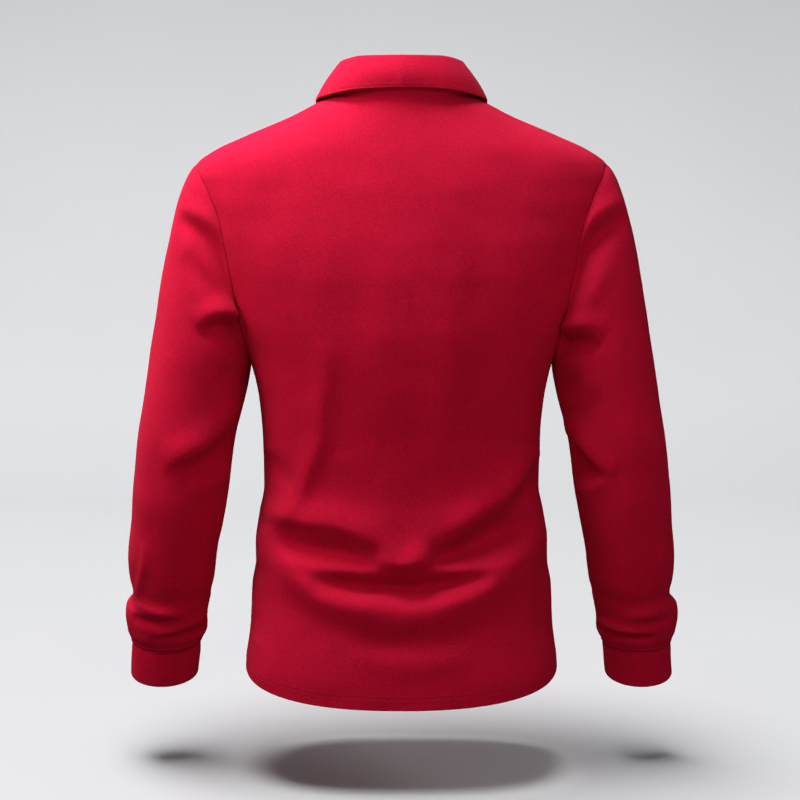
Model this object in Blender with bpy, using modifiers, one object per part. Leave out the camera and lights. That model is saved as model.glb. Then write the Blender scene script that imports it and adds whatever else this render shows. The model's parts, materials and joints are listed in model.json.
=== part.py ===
"""Long-sleeve polo shirt, filled out as worn with nobody in it.

Metres, +Z up. The front faces -Y and the wearer's left is +X. The origin is where a neck holds
the shirt up: the middle of the neck opening, level with the top of the shoulder seams. Front and
back are walls of cloth laid on one body form, whose level sections are in a table. The sleeves are
lofted from the armholes to their own table of rings. Folds are ridges and troughs along short bent
lines, each a row of a table.
"""
import math
from collections import namedtuple

import bpy
import numpy as np
from mathutils import Vector

# Cloth
CLOTH = 0.0020              # wall of the body and sleeves
SEAM = 0.0003               # space between two pieces at a seam
MITRE_LIMIT = 0.5           # least cosine used where a wall turns sharply at a seam
SHARP_EDGE = math.radians(50)

# Body: heights are measured down from the top of the shoulder seam
SHOULDER_TIP = -0.075
UNDERARM = -0.298
UNDERARM_CENTRE = -0.300
SIDE_HEM = -0.640
BACK_HEM = -0.668
FRONT_HEM = -0.658
NECK_BACK = 0.000
NECK_FRONT = -0.072
BACK_AT_TIP = -0.100        # height at the middle of the back of the row that ends at the tip
FRONT_AT_TIP = -0.135
ARMHOLE_BACK = 0.056        # how far the armhole reaches behind and before the shoulder seam
ARMHOLE_FRONT = 0.060
NECK_SCOOP = 1.0            # 1: a row rises like an ellipse, 2: like a wave
TIP_SCOOP = 2.0
HEM_SCOOP = 0.95

# Placket and buttons
PLACKET_HALF = 0.015
PLACKET_ROWS = 8
PLACKET_PROUD = 0.0008
UNDER_PLACKET_OVERLAP = 0.004
UNDER_PLACKET_GAP = 0.0004
UNDER_PLACKET_DROP = 0.5    # how far below the neck seam it stops, in rows
BUTTON_RADIUS = 0.0057
BUTTON_HEIGHT = 0.0026
BUTTON_ROWS = {"button_top": 7.45, "button_middle": 4.55, "button_bottom": 1.65}

# Cuffs and collar
WRIST = -0.545              # below it the sleeve's rows are closer
CUFF_TOP = -0.6225
CUFF_BOTTOM = -0.6610
COLLAR_GAP = 0.0030         # room inside the collar's fold
COLLAR_END = 0.0012         # each collar end stops this far from the centre front
STAND_CURVE = 1.5           # more than 1: the stand leans in more towards its top
FOLD_STEPS = 4
LEAF_STEPS = 4
LEAF_BOW = 0.0030

# How finely the cloth is divided
BACK_HALF_COLUMNS = 12
FRONT_HALF_COLUMNS = 10
SKIRT_ZONES = ((SIDE_HEM, -0.615, 2), (-0.615, -0.455, 18), (-0.455, -0.298, 8))
ARMHOLE_ROWS = 10
SHOULDER_ROWS = 5
CAP_ROWS = 12
CAP_FADE = 2                # rows over which a sleeve's folds start at the armhole
ARM_ROWS = 14
WRIST_ROWS = 8
CUFF_ROWS = 2
FINE = 200                  # points along a curve before it is divided evenly

Section = namedtuple("Section", "height half_width back front corner")
BODY = (
    Section(0.000, 0.0750, 0.0620, 0.0400, 2.00),
    Section(-0.010, 0.0960, 0.0660, 0.0480, 2.00),
    Section(-0.022, 0.1190, 0.0710, 0.0560, 2.00),
    Section(-0.045, 0.1730, 0.0810, 0.0700, 1.95),
    Section(-0.060, 0.2060, 0.0870, 0.0780, 1.90),
    Section(-0.075, 0.2265, 0.0920, 0.0850, 1.85),
    Section(-0.092, 0.2335, 0.0970, 0.0910, 1.85),
    Section(-0.110, 0.2335, 0.1015, 0.0975, 1.87),
    Section(-0.130, 0.2275, 0.1055, 0.1035, 1.95),
    Section(-0.160, 0.2190, 0.1100, 0.1115, 2.10),
    Section(-0.200, 0.2070, 0.1135, 0.1180, 2.20),
    Section(-0.245, 0.1909, 0.1135, 0.1200, 2.25),
    Section(-0.299, 0.1677, 0.1090, 0.1170, 2.30),
    Section(-0.340, 0.1594, 0.1035, 0.1120, 2.35),
    Section(-0.385, 0.1556, 0.0970, 0.1070, 2.40),
    Section(-0.436, 0.1551, 0.0940, 0.1040, 2.40),
    Section(-0.464, 0.1602, 0.0955, 0.1035, 2.40),
    Section(-0.492, 0.1640, 0.0980, 0.1040, 2.40),
    Section(-0.520, 0.1648, 0.1010, 0.1050, 2.40),
    Section(-0.547, 0.1695, 0.1050, 0.1060, 2.40),
    Section(-0.590, 0.1715, 0.1100, 0.1080, 2.55),
    Section(-0.645, 0.1772, 0.1145, 0.1100, 2.80),
    Section(-0.690, 0.1776, 0.1155, 0.1110, 2.80),
)

# Level rings of a sleeve: out is from the middle of the shirt, tilt turns the back of a ring down
Ring = namedtuple("Ring", "height out back half_width half_depth tilt")
SLEEVE = (
    Ring(-0.3400, 0.2329, 0.0020, 0.0569, 0.0640, 0.0),
    Ring(-0.3850, 0.2424, 0.0040, 0.0547, 0.0610, 1.0),
    Ring(-0.4360, 0.2486, 0.0040, 0.0540, 0.0580, 3.0),
    Ring(-0.4780, 0.2540, 0.0000, 0.0518, 0.0550, 5.0),
    Ring(-0.5200, 0.2608, -0.0060, 0.0502, 0.0520, 7.0),
    Ring(-0.5450, 0.2620, -0.0100, 0.0478, 0.0495, 8.0),
    Ring(-0.5640, 0.2622, -0.0130, 0.0438, 0.0455, 8.0),
    Ring(-0.5780, 0.2684, -0.0155, 0.0474, 0.0475, 8.0),
    Ring(-0.5930, 0.2702, -0.0180, 0.0468, 0.0465, 8.0),
    Ring(-0.6070, 0.2696, -0.0200, 0.0455, 0.0450, 8.0),
    Ring(-0.6225, 0.2709, -0.0225, 0.0398, 0.0385, 8.0),
    Ring(-0.6610, 0.2743, -0.0270, 0.0388, 0.0385, 14.0),
)

# How the cloth leaves the armhole and how strongly it keeps to each end, over the arm and under it
Cap = namedtuple("Cap", "out fall leave arrive")
CAP_OVER = Cap(0.77, -0.64, 0.41, 1.40)
CAP_UNDER = Cap(0.15, -0.98, 0.95, 0.95)
CAP_BACK = 0.25

# Collar, from the middle of the back (around 0) to the middle of the front (around 1)
Station = namedtuple("Station", "around rise lean edge_out edge_back edge_height")
COLLAR = (
    Station(0.00, 0.0392, 0.0060, 0.0000, 0.0820, 0.0090),
    Station(0.18, 0.0388, 0.0078, 0.0420, 0.0720, 0.0075),
    Station(0.34, 0.0345, 0.0100, 0.0780, 0.0400, 0.0010),
    Station(0.48, 0.0315, 0.0120, 0.0950, 0.0000, -0.0060),
    Station(0.62, 0.0280, 0.0115, 0.0960, -0.0360, -0.0170),
    Station(0.80, 0.0265, 0.0105, 0.0800, -0.0740, -0.0550),
    Station(1.00, 0.0260, 0.0100, 0.0500, -0.1040, -0.1050),
)

# Folds as seen from the back (side 1) or front (side -1): places are (x, z) on the cloth
Fold = namedtuple("Fold", "side start middle end width height")
FOLD_POINTS = 25            # points along a fold's bent line
FOLD_TAPER = 0.7            # less than 1: a fold keeps its height for longer along its line
FOLD_TURN = 0.35            # a fold fades where the cloth turns this near to side-on
BACK_FOLDS = (
    # long soft folds from the shoulder blades to the waist
    Fold(1, (0.081, -0.190), (0.090, -0.345), (0.136, -0.462), 0.013, 0.0050),
    Fold(1, (0.054, -0.100), (0.053, -0.240), (0.062, -0.390), 0.018, -0.0035),
    Fold(1, (-0.082, -0.100), (-0.086, -0.240), (-0.079, -0.380), 0.019, -0.0045),
    Fold(1, (-0.056, -0.170), (-0.054, -0.292), (-0.044, -0.400), 0.015, 0.0030),
    # the two edges that come down to a V, and the pockets under them
    Fold(1, (0.150, -0.458), (0.084, -0.452), (0.000, -0.490), 0.013, 0.0070),
    Fold(1, (-0.160, -0.366), (-0.112, -0.432), (-0.004, -0.492), 0.015, 0.0080),
    Fold(1, (0.140, -0.478), (0.078, -0.484), (0.010, -0.506), 0.012, -0.0095),
    Fold(1, (-0.150, -0.456), (-0.092, -0.482), (-0.020, -0.506), 0.012, -0.0100),
    # the lip between the pockets and the hollow below it
    Fold(1, (0.120, -0.504), (0.002, -0.516), (-0.124, -0.501), 0.009, 0.0050),
    Fold(1, (0.104, -0.520), (0.002, -0.545), (-0.104, -0.518), 0.013, -0.0105),
    # the long swag under them all, and what it leaves above the hem
    Fold(1, (0.150, -0.472), (0.098, -0.540), (-0.022, -0.573), 0.013, 0.0090),
    Fold(1, (0.026, -0.573), (-0.094, -0.540), (-0.149, -0.466), 0.014, 0.0085),
    Fold(1, (0.100, -0.574), (0.002, -0.600), (-0.096, -0.574), 0.013, -0.0050),
    Fold(1, (0.060, -0.616), (-0.009, -0.624), (-0.080, -0.614), 0.013, 0.0025),
    # dimples and creases by the side seams
    Fold(1, (0.152, -0.392), (0.140, -0.411), (0.118, -0.426), 0.012, -0.0055),
    Fold(1, (-0.157, -0.404), (-0.148, -0.424), (-0.128, -0.452), 0.011, -0.0075),
    Fold(1, (0.163, -0.520), (0.155, -0.560), (0.160, -0.606), 0.011, -0.0030),
    Fold(1, (-0.163, -0.520), (-0.155, -0.560), (-0.160, -0.606), 0.011, -0.0030),
)
FRONT_FOLDS = (
    # soft drags from the armholes, and long folds from the chest
    Fold(-1, (0.172, -0.232), (0.142, -0.262), (0.100, -0.282), 0.012, -0.0035),
    Fold(-1, (-0.174, -0.224), (-0.138, -0.258), (-0.104, -0.288), 0.012, -0.0040),
    Fold(-1, (0.076, -0.250), (0.080, -0.350), (0.120, -0.446), 0.013, 0.0040),
    Fold(-1, (-0.070, -0.240), (-0.078, -0.345), (-0.114, -0.438), 0.013, 0.0035),
    Fold(-1, (0.030, -0.270), (0.026, -0.370), (0.040, -0.470), 0.018, -0.0030),
    # the waist settles in shallow swags
    Fold(-1, (0.150, -0.430), (0.090, -0.470), (0.010, -0.484), 0.012, 0.0050),
    Fold(-1, (-0.152, -0.440), (-0.084, -0.472), (-0.004, -0.486), 0.012, 0.0045),
    Fold(-1, (0.140, -0.462), (0.060, -0.500), (-0.050, -0.506), 0.012, -0.0060),
    Fold(-1, (0.070, -0.528), (-0.040, -0.532), (-0.146, -0.484), 0.012, 0.0055),
    Fold(-1, (0.150, -0.510), (0.100, -0.548), (0.030, -0.556), 0.012, 0.0045),
    Fold(-1, (0.050, -0.566), (-0.050, -0.566), (-0.132, -0.530), 0.013, -0.0040),
    Fold(-1, (0.156, -0.560), (0.150, -0.590), (0.158, -0.620), 0.010, -0.0025),
    Fold(-1, (-0.156, -0.556), (-0.150, -0.586), (-0.158, -0.618), 0.010, -0.0025),
)
LEFT_SLEEVE_FOLDS = (
    Fold(1, (0.238, -0.138), (0.206, -0.163), (0.187, -0.200), 0.013, -0.0060),
    Fold(1, (0.240, -0.118), (0.208, -0.137), (0.190, -0.165), 0.013, 0.0035),
    Fold(1, (0.238, -0.177), (0.217, -0.200), (0.200, -0.217), 0.012, -0.0030),
    Fold(1, (0.226, -0.256), (0.200, -0.243), (0.176, -0.252), 0.011, 0.0045),
    Fold(1, (0.220, -0.264), (0.196, -0.262), (0.176, -0.272), 0.011, -0.0055),
    Fold(1, (0.266, -0.404), (0.224, -0.385), (0.183, -0.352), 0.013, 0.0050),
    Fold(1, (0.244, -0.414), (0.212, -0.401), (0.186, -0.378), 0.013, -0.0065),
    Fold(1, (0.234, -0.426), (0.210, -0.427), (0.192, -0.418), 0.011, 0.0035),
    Fold(1, (0.314, -0.590), (0.284, -0.575), (0.246, -0.584), 0.007, 0.0040),
    Fold(1, (0.292, -0.604), (0.256, -0.603), (0.226, -0.600), 0.007, -0.0050),
    Fold(-1, (0.232, -0.150), (0.206, -0.180), (0.188, -0.214), 0.013, -0.0050),
    Fold(-1, (0.236, -0.250), (0.206, -0.246), (0.180, -0.262), 0.013, -0.0040),
    Fold(-1, (0.282, -0.352), (0.240, -0.372), (0.196, -0.366), 0.013, -0.0070),
    Fold(-1, (0.288, -0.378), (0.246, -0.396), (0.200, -0.392), 0.013, 0.0055),
    Fold(-1, (0.280, -0.410), (0.240, -0.420), (0.204, -0.410), 0.013, -0.0055),
    Fold(-1, (0.312, -0.586), (0.276, -0.594), (0.236, -0.584), 0.007, 0.0040),
)
RIGHT_SLEEVE_FOLDS = (
    Fold(1, (-0.196, -0.160), (-0.214, -0.135), (-0.238, -0.121), 0.013, 0.0045),
    Fold(1, (-0.190, -0.210), (-0.207, -0.165), (-0.240, -0.140), 0.014, -0.0095),
    Fold(1, (-0.192, -0.258), (-0.203, -0.218), (-0.226, -0.178), 0.013, 0.0035),
    Fold(1, (-0.174, -0.276), (-0.195, -0.269), (-0.216, -0.277), 0.011, -0.0055),
    Fold(1, (-0.174, -0.258), (-0.193, -0.253), (-0.216, -0.260), 0.011, 0.0045),
    Fold(1, (-0.214, -0.318), (-0.206, -0.341), (-0.196, -0.364), 0.012, -0.0030),
    Fold(1, (-0.186, -0.366), (-0.203, -0.388), (-0.230, -0.412), 0.013, 0.0050),
    Fold(1, (-0.188, -0.386), (-0.200, -0.405), (-0.214, -0.420), 0.012, -0.0060),
    Fold(1, (-0.194, -0.432), (-0.211, -0.429), (-0.228, -0.418), 0.011, 0.0035),
    Fold(1, (-0.314, -0.592), (-0.288, -0.580), (-0.262, -0.586), 0.007, 0.0035),
    Fold(1, (-0.228, -0.606), (-0.254, -0.604), (-0.292, -0.606), 0.007, -0.0045),
    Fold(-1, (-0.234, -0.144), (-0.208, -0.176), (-0.190, -0.220), 0.013, -0.0055),
    Fold(-1, (-0.230, -0.262), (-0.204, -0.256), (-0.178, -0.268), 0.013, -0.0040),
    Fold(-1, (-0.280, -0.362), (-0.238, -0.378), (-0.196, -0.370), 0.013, -0.0070),
    Fold(-1, (-0.284, -0.390), (-0.244, -0.404), (-0.202, -0.398), 0.013, 0.0055),
    Fold(-1, (-0.276, -0.420), (-0.238, -0.428), (-0.206, -0.418), 0.013, -0.0050),
    Fold(-1, (-0.310, -0.580), (-0.274, -0.590), (-0.238, -0.580), 0.007, 0.0040),
)

RED = (0.40, 0.005, 0.022, 1.0)
RIB_RED = (0.36, 0.005, 0.020, 1.0)
BUTTON_RED = (0.20, 0.004, 0.012, 1.0)


def reader(table, key, field):
    """A function that reads one column of a table smoothly, with no overshoot between rows."""
    rows = sorted(table, key=lambda row: getattr(row, key))
    keys = np.array([getattr(row, key) for row in rows])
    values = np.array([getattr(row, field) for row in rows])
    steps = np.diff(keys)
    rises = np.diff(values) / steps
    slopes = np.zeros(len(keys))
    slopes[0] = rises[0]
    slopes[-1] = rises[-1]
    for i in range(1, len(keys) - 1):
        if rises[i - 1] * rises[i] > 0:
            slopes[i] = 2.0 / (1.0 / rises[i - 1] + 1.0 / rises[i])

    def read(place):
        place = np.clip(place, keys[0], keys[-1])
        i = np.clip(np.searchsorted(keys, place) - 1, 0, len(steps) - 1)
        t = (place - keys[i]) / steps[i]
        rising = t * t * (3 - 2 * t)
        leave = t * (1 - t) ** 2 * steps[i] * slopes[i]
        arrive = t * t * (1 - t) * steps[i] * slopes[i + 1]
        return values[i] + (values[i + 1] - values[i]) * rising + leave - arrive

    return read


body_half_width = reader(BODY, "height", "half_width")
body_back = reader(BODY, "height", "back")
body_front = reader(BODY, "height", "front")
body_corner = reader(BODY, "height", "corner")


def body_reach(height, side):
    """How far the body form reaches behind (side 1) or before (side -1) the shoulder seam."""
    return body_back(height) if side > 0 else body_front(height)


def body_depth(across, height, side):
    """y of the body form at a distance across and a height."""
    corner = body_corner(height)
    used = np.clip(np.abs(across) / body_half_width(height), 0.0, 1.0) ** corner
    return side * body_reach(height, side) * (1.0 - used) ** (1.0 / corner)


def body_across(depth, height, side):
    """x of the body form at a depth and a height."""
    corner = body_corner(height)
    used = np.clip(np.abs(depth) / body_reach(height, side), 0.0, 1.0) ** corner
    return body_half_width(height) * (1.0 - used) ** (1.0 / corner)


def unit(vectors):
    """The same vectors, one metre long."""
    lengths = np.linalg.norm(vectors, axis=-1, keepdims=True)
    return vectors / np.maximum(lengths, 1e-12)


def along(points):
    """Distance along a line of points, from its first."""
    return np.concatenate([[0.0], np.cumsum(np.linalg.norm(np.diff(points, axis=0), axis=1))])


def at_distances(points, distances):
    """Points of a line at the given distances along it."""
    measured = along(points)
    return np.stack([np.interp(distances, measured, points[:, k]) for k in range(3)], axis=1)


def armhole_half(side):
    """One half of the armhole on the left, from the underarm up to the shoulder tip."""
    middle = (SHOULDER_TIP + UNDERARM) / 2
    half_height = (SHOULDER_TIP - UNDERARM) / 2
    turn = np.linspace(math.pi, 0.0, FINE)
    depth = (ARMHOLE_BACK if side > 0 else ARMHOLE_FRONT) * np.sin(turn)
    height = middle + half_height * np.cos(turn)
    flat = np.stack([np.zeros(FINE), depth, height], axis=1)
    even = at_distances(flat, np.linspace(0.0, along(flat)[-1], ARMHOLE_ROWS + 1))
    across = body_across(even[:, 1], even[:, 2], side)
    return np.stack([across, side * even[:, 1], even[:, 2]], axis=1)


def side_ends(side):
    """Where each row of a panel ends on the left, from the hem up, and the rows' middle heights."""
    hem = BACK_HEM if side > 0 else FRONT_HEM
    skirt = [SIDE_HEM]
    for low, high, count in SKIRT_ZONES:
        skirt.extend(np.linspace(low, high, count + 1)[1:])
    skirt = np.array(skirt)
    seam = np.stack([body_half_width(skirt), np.zeros(len(skirt)), skirt], axis=1)
    seam_middles = hem + (skirt - SIDE_HEM) * (UNDERARM_CENTRE - hem) / (UNDERARM - SIDE_HEM)

    armhole = armhole_half(side)[1:]
    at_tip = BACK_AT_TIP if side > 0 else FRONT_AT_TIP
    armhole_middles = np.linspace(UNDERARM_CENTRE, at_tip, ARMHOLE_ROWS + 1)[1:]

    ridge = np.linspace(SHOULDER_TIP, 0.0, SHOULDER_ROWS + 1)[1:]
    shoulder = np.stack([body_half_width(ridge), np.zeros(len(ridge)), ridge], axis=1)
    neck = NECK_BACK if side > 0 else NECK_FRONT
    shoulder_middles = np.linspace(at_tip, neck, SHOULDER_ROWS + 1)[1:]

    ends = np.concatenate([seam, armhole, shoulder])
    middles = np.concatenate([seam_middles, armhole_middles, shoulder_middles])
    return ends, middles


def panel(side, half_columns, first_step):
    """Grid of points of the front or back: rows from the hem up, columns from -X to +X.

    first_step is the distance of the first column from the middle, or None for even columns."""
    ends, middles = side_ends(side)
    top = len(ends) - 1
    tip = top - SHOULDER_ROWS
    scoops = np.interp(range(top + 1), (0, tip - ARMHOLE_ROWS, tip, top),
                       (HEM_SCOOP, TIP_SCOOP, TIP_SCOOP, NECK_SCOOP))
    turn = np.linspace(0.0, math.pi / 2, FINE)
    rows = []
    for end, middle, scoop in zip(ends, middles, scoops):
        across = end[0] * np.sin(turn)
        height = middle + (end[2] - middle) * (1.0 - np.cos(turn) ** scoop)
        half = np.stack([across, body_depth(across, height, side), height], axis=1)
        half[-1] = end
        length = along(half)[-1]
        if first_step is None:
            places = np.linspace(0.0, length, half_columns + 1)
        else:
            places = np.concatenate([[0.0], np.linspace(first_step, length, half_columns)])
        half = at_distances(half, places)
        mirrored = half[:0:-1] * (-1.0, 1.0, 1.0)
        rows.append(np.concatenate([mirrored, half]))
    return np.array(rows)


def cell_normals(grid):
    """Unit normal of each cell of a grid."""
    rising = grid[1:, 1:] - grid[:-1, :-1]
    falling = grid[:-1, 1:] - grid[1:, :-1]
    return unit(np.cross(rising, falling))


def point_normals(grid, facing, ring=False):
    """Unit normal at each point of a grid; facing is 1 or -1 so that they point out of the shirt."""
    cells = facing * cell_normals(grid)
    total = np.zeros_like(grid)
    for di in (0, 1):
        for dj in (0, 1):
            total[di:di + cells.shape[0], dj:dj + cells.shape[1]] += cells
    if ring:
        seam = total[:, 0] + total[:, -1]
        total[:, 0] = seam
        total[:, -1] = seam
    return unit(total)


def fold_path(fold):
    """Points along a fold's bent line, which passes through its middle."""
    start, middle, end = (np.array(place) for place in (fold.start, fold.middle, fold.end))
    control = 2.0 * middle - (start + end) / 2.0
    t = np.linspace(0.0, 1.0, FOLD_POINTS)[:, None]
    return start * (1 - t) ** 2 + control * 2 * t * (1 - t) + end * t ** 2


def relief(points, normals, folds):
    """How far the folds lift each point off the plain form."""
    flat = points[..., (0, 2)].reshape(-1, 2)
    turned = normals[..., 1].reshape(-1)
    total = np.zeros(len(flat))
    for fold in folds:
        path = fold_path(fold)
        starts = path[:-1]
        spans = np.diff(path, axis=0)
        to_point = flat[:, None, :] - starts[None, :, :]
        share = np.clip((to_point * spans).sum(-1) / (spans * spans).sum(-1), 0.0, 1.0)
        gaps = np.linalg.norm(to_point - share[..., None] * spans, axis=-1)
        nearest = gaps.argmin(axis=1)
        rows = np.arange(len(flat))
        travelled = (nearest + share[rows, nearest]) / len(spans)
        taper = np.clip(np.sin(math.pi * travelled), 0.0, 1.0) ** FOLD_TAPER
        facing = np.clip(fold.side * turned / FOLD_TURN, 0.0, 1.0)
        bump = np.exp(-(gaps[rows, nearest] / fold.width) ** 2)
        total += fold.height * bump * taper * facing * facing * (3 - 2 * facing)
    return total.reshape(points.shape[:-1])


def folded(grid, facing, folds, ring=False):
    """The grid with its folds raised along its own normals; what is sewn stays where it is."""
    normals = point_normals(grid, facing, ring)
    lift = relief(grid, normals, folds)
    lift[(0, -1), :] = 0.0
    if not ring:
        lift[:, (0, -1)] = 0.0
    return grid + normals * lift[..., None]


def sleeve_ring(height, angles, side):
    """Points round a sleeve at a height; angle 0 is its outer side and 90 degrees its back."""
    out, back, half_width, half_depth, tilt = (float(read(height)) for read in sleeve_readers)
    tilt = math.radians(tilt)
    x = side * (out + half_width * np.cos(angles))
    y = back + half_depth * np.sin(angles) * math.cos(tilt)
    z = height - half_depth * np.sin(angles) * math.sin(tilt)
    return np.stack([x, y, z], axis=1)


sleeve_readers = [reader(SLEEVE, "height", field) for field in Ring._fields[1:]]


def sleeve(armhole, side):
    """Grid of points of a sleeve: rows from the armhole down, columns round it and closed."""
    angles = np.linspace(0.0, 2 * math.pi, len(armhole))
    top = SLEEVE[0].height
    first = sleeve_ring(top, angles, side)
    down = unit(sleeve_ring(top - 0.004, angles, side) - first)
    chord = np.linalg.norm(first - armhole, axis=1, keepdims=True)
    over = (1 + np.cos(angles[:, None])) / 2
    cap = np.array(CAP_OVER) * over + np.array(CAP_UNDER) * (1 - over)
    leave = np.stack([side * cap[:, 0], CAP_BACK * np.sin(angles), cap[:, 1]], axis=1)
    leave = unit(leave) * chord * cap[:, 2:3]
    arrive = down * chord * cap[:, 3:4]
    rows = []
    for t in np.linspace(0.0, 1.0, CAP_ROWS + 1):
        rows.append(armhole * (1 + 2 * t) * (1 - t) ** 2 + leave * t * (1 - t) ** 2
                    + first * t * t * (3 - 2 * t) - arrive * t * t * (1 - t))
    heights = np.concatenate([np.linspace(top, WRIST, ARM_ROWS + 1)[1:],
                              np.linspace(WRIST, CUFF_TOP, WRIST_ROWS + 1)[1:]])
    rows.extend(sleeve_ring(height, angles, side) for height in heights)
    plain = np.array(rows)
    folds = LEFT_SLEEVE_FOLDS if side > 0 else RIGHT_SLEEVE_FOLDS
    raised = folded(plain, side, folds, ring=True)
    share = np.ones(len(plain))
    share[:CAP_FADE] = np.linspace(0.0, 1.0, CAP_FADE + 1)[:-1]
    share[-2] = 0.5
    return plain + (raised - plain) * share[:, None, None]


def cuff(side, columns):
    """Grid of points of a cuff, from its seam down."""
    angles = np.linspace(0.0, 2 * math.pi, columns)
    return np.array([sleeve_ring(height, angles, side)
                     for height in np.linspace(CUFF_TOP, CUFF_BOTTOM, CUFF_ROWS + 1)])


def armhole_loop(back, front, side):
    """The armhole's points on the finished panels, from the tip down the back and up the front."""
    rows = back.shape[0]
    tip = rows - 1 - SHOULDER_ROWS
    low = tip - ARMHOLE_ROWS
    column = -1 if side > 0 else 0
    down = back[low:tip + 1, column][::-1]
    up = front[low:tip + 1, column]
    return np.concatenate([down, up[1:]])


def neck_loop(back, front):
    """The neck seam's points from the centre front round by the left shoulder and back again."""
    centre = front.shape[1] // 2
    return np.concatenate([front[-1, centre:], back[-1, ::-1][1:], front[-1, 1:centre + 1]])


def round_the_neck(loop):
    """Share of the way from the middle of the back to the middle of the front, and the side."""
    measured = along(loop)
    half = measured[-1] / 2
    around = np.abs(measured - half) / half
    return around, np.where(measured < half, 1.0, -1.0)


def stand_grid(loop):
    """Grid of points of the collar stand: rows from the neck seam up."""
    around, _ = round_the_neck(loop)
    rise = reader(COLLAR, "around", "rise")(around)
    lean = reader(COLLAR, "around", "lean")(around)
    inwards = unit(loop * (-1.0, -1.0, 0.0))
    rows = []
    for t in (0.0, 0.5, 1.0):
        rows.append(loop + np.array([0, 0, 1.0]) * rise[:, None] * t
                    + inwards * lean[:, None] * t ** STAND_CURVE)
    grid = np.array(rows)
    grid[:, 0, 0] = COLLAR_END
    grid[:, -1, 0] = -COLLAR_END
    return grid


def leaf_grids(top):
    """Outer and inner points of the collar leaf: over the fold and down to its edge."""
    around, side = round_the_neck(top)
    outwards = unit(top * (1.0, 1.0, 0.0))
    up = np.array([0.0, 0.0, 1.0])
    edge = np.stack([side * reader(COLLAR, "around", "edge_out")(around),
                     reader(COLLAR, "around", "edge_back")(around),
                     reader(COLLAR, "around", "edge_height")(around)], axis=1)
    centre = top + outwards * (COLLAR_GAP / 2) + up * SEAM
    shown, hidden = [], []
    for turn in np.linspace(math.pi, 0.0, FOLD_STEPS + 1):
        way = outwards * math.cos(turn) + up * math.sin(turn)
        shown.append(centre + way * (COLLAR_GAP / 2 + CLOTH))
        hidden.append(centre + way * (COLLAR_GAP / 2))
    start = shown[-1]
    fall = []
    for t in np.linspace(0.0, 1.0, LEAF_STEPS + 1)[1:]:
        bow = outwards * LEAF_BOW * math.sin(math.pi * t)
        fall.append(start + (edge - start) * t + bow)
    grid = np.array([start] + fall)
    normals = point_normals(grid, 1)
    if (normals[1] * outwards).sum() < 0:
        normals = -normals
    shown.extend(grid[1:])
    hidden.extend((grid - normals * CLOTH)[1:])
    return np.array(shown), np.array(hidden)


def wall_directions(skins):
    """For each grid, the way out at its points, shared where surfaces meet.

    The front and back count as one surface, so that at an armhole the way out halves the angle
    between body and sleeve. Its length keeps the wall's thickness where they meet at an angle."""
    meeting = {}
    for grid, facing, surface in skins:
        cells = facing * cell_normals(grid)
        for i in range(cells.shape[0]):
            for j in range(cells.shape[1]):
                for point in (grid[i, j], grid[i + 1, j], grid[i, j + 1], grid[i + 1, j + 1]):
                    groups = meeting.setdefault(tuple(np.round(point, 6)), {})
                    groups.setdefault(surface, []).append(cells[i, j])
    answers = []
    for grid, _, _ in skins:
        ways = np.zeros_like(grid)
        for place in np.ndindex(grid.shape[:2]):
            groups = meeting[tuple(np.round(grid[place], 6))].values()
            around = unit(np.array([np.mean(group, axis=0) for group in groups]))
            middle = unit(around.sum(axis=0))
            ways[place] = middle / max(float((around @ middle).mean()), MITRE_LIMIT)
        answers.append(ways)
    return answers


def draw_back(outer, inner, runs):
    """Move the edge points of a wall in by half a seam, square to each seam face they lie on."""
    squares = {}
    for edge, inside in runs:
        points = np.array([outer[place] for place in edge])
        through = points - np.array([inner[place] for place in edge])
        to_inside = np.array([outer[place] + inner[place] for place in inside]) - 2 * points + through
        square = unit(np.cross(np.gradient(points, axis=0), through))
        square *= np.sign((square * to_inside).sum(1, keepdims=True))
        for place, way in zip(edge, square):
            squares.setdefault(place, []).append(way)
    for place, ways in squares.items():
        shift = np.linalg.pinv(np.array(ways), rcond=0.2) @ np.full(len(ways), SEAM / 2)
        outer[place] += shift
        inner[place] += shift


def row_run(row, inside, first, last, around=None):
    """Places along one row's edge, and the places beside them inside the piece."""
    columns = [j % around if around else j for j in range(first, last + 1)]
    return [(row, j) for j in columns], [(inside, j) for j in columns]


def column_run(column, inside, first, last):
    """Places along one column's edge, and the places beside them inside the piece."""
    rows = range(first, last + 1)
    return [(i, column) for i in rows], [(i, inside) for i in rows]


def panel_runs(grid):
    """Edges of a front or back panel: hem, neck, and the seams up each side."""
    top, last = grid.shape[0] - 1, grid.shape[1] - 1
    tip = top - SHOULDER_ROWS
    low = tip - ARMHOLE_ROWS
    runs = [row_run(0, 1, 0, last), row_run(top, top - 1, 0, last)]
    for column, inside in ((0, 1), (last, last - 1)):
        for start, end in ((0, low), (low, tip), (tip, top)):
            runs.append(column_run(column, inside, start, end))
    return runs


def sleeve_runs(grid):
    """Edges of a sleeve: behind and before the armhole, and the wrist."""
    bottom, around = grid.shape[0] - 1, grid.shape[1] - 1
    return [row_run(0, 1, 0, ARMHOLE_ROWS, around), row_run(0, 1, ARMHOLE_ROWS, around, around),
            row_run(bottom, bottom - 1, 0, around, around)]


def cuff_runs(grid):
    """The seam of a cuff and its open edge."""
    bottom, around = grid.shape[0] - 1, grid.shape[1] - 1
    return [row_run(0, 1, 0, around, around), row_run(bottom, bottom - 1, 0, around, around)]


def stand_runs(grid):
    """Edges of the collar stand: the neck seam of each panel, and the top."""
    top, last = grid.shape[0] - 1, grid.shape[1] - 1
    left, right = FRONT_HALF_COLUMNS, last - FRONT_HALF_COLUMNS
    return [row_run(0, 1, 0, left), row_run(0, 1, left, right), row_run(0, 1, right, last),
            row_run(top, top - 1, 0, last)]


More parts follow.
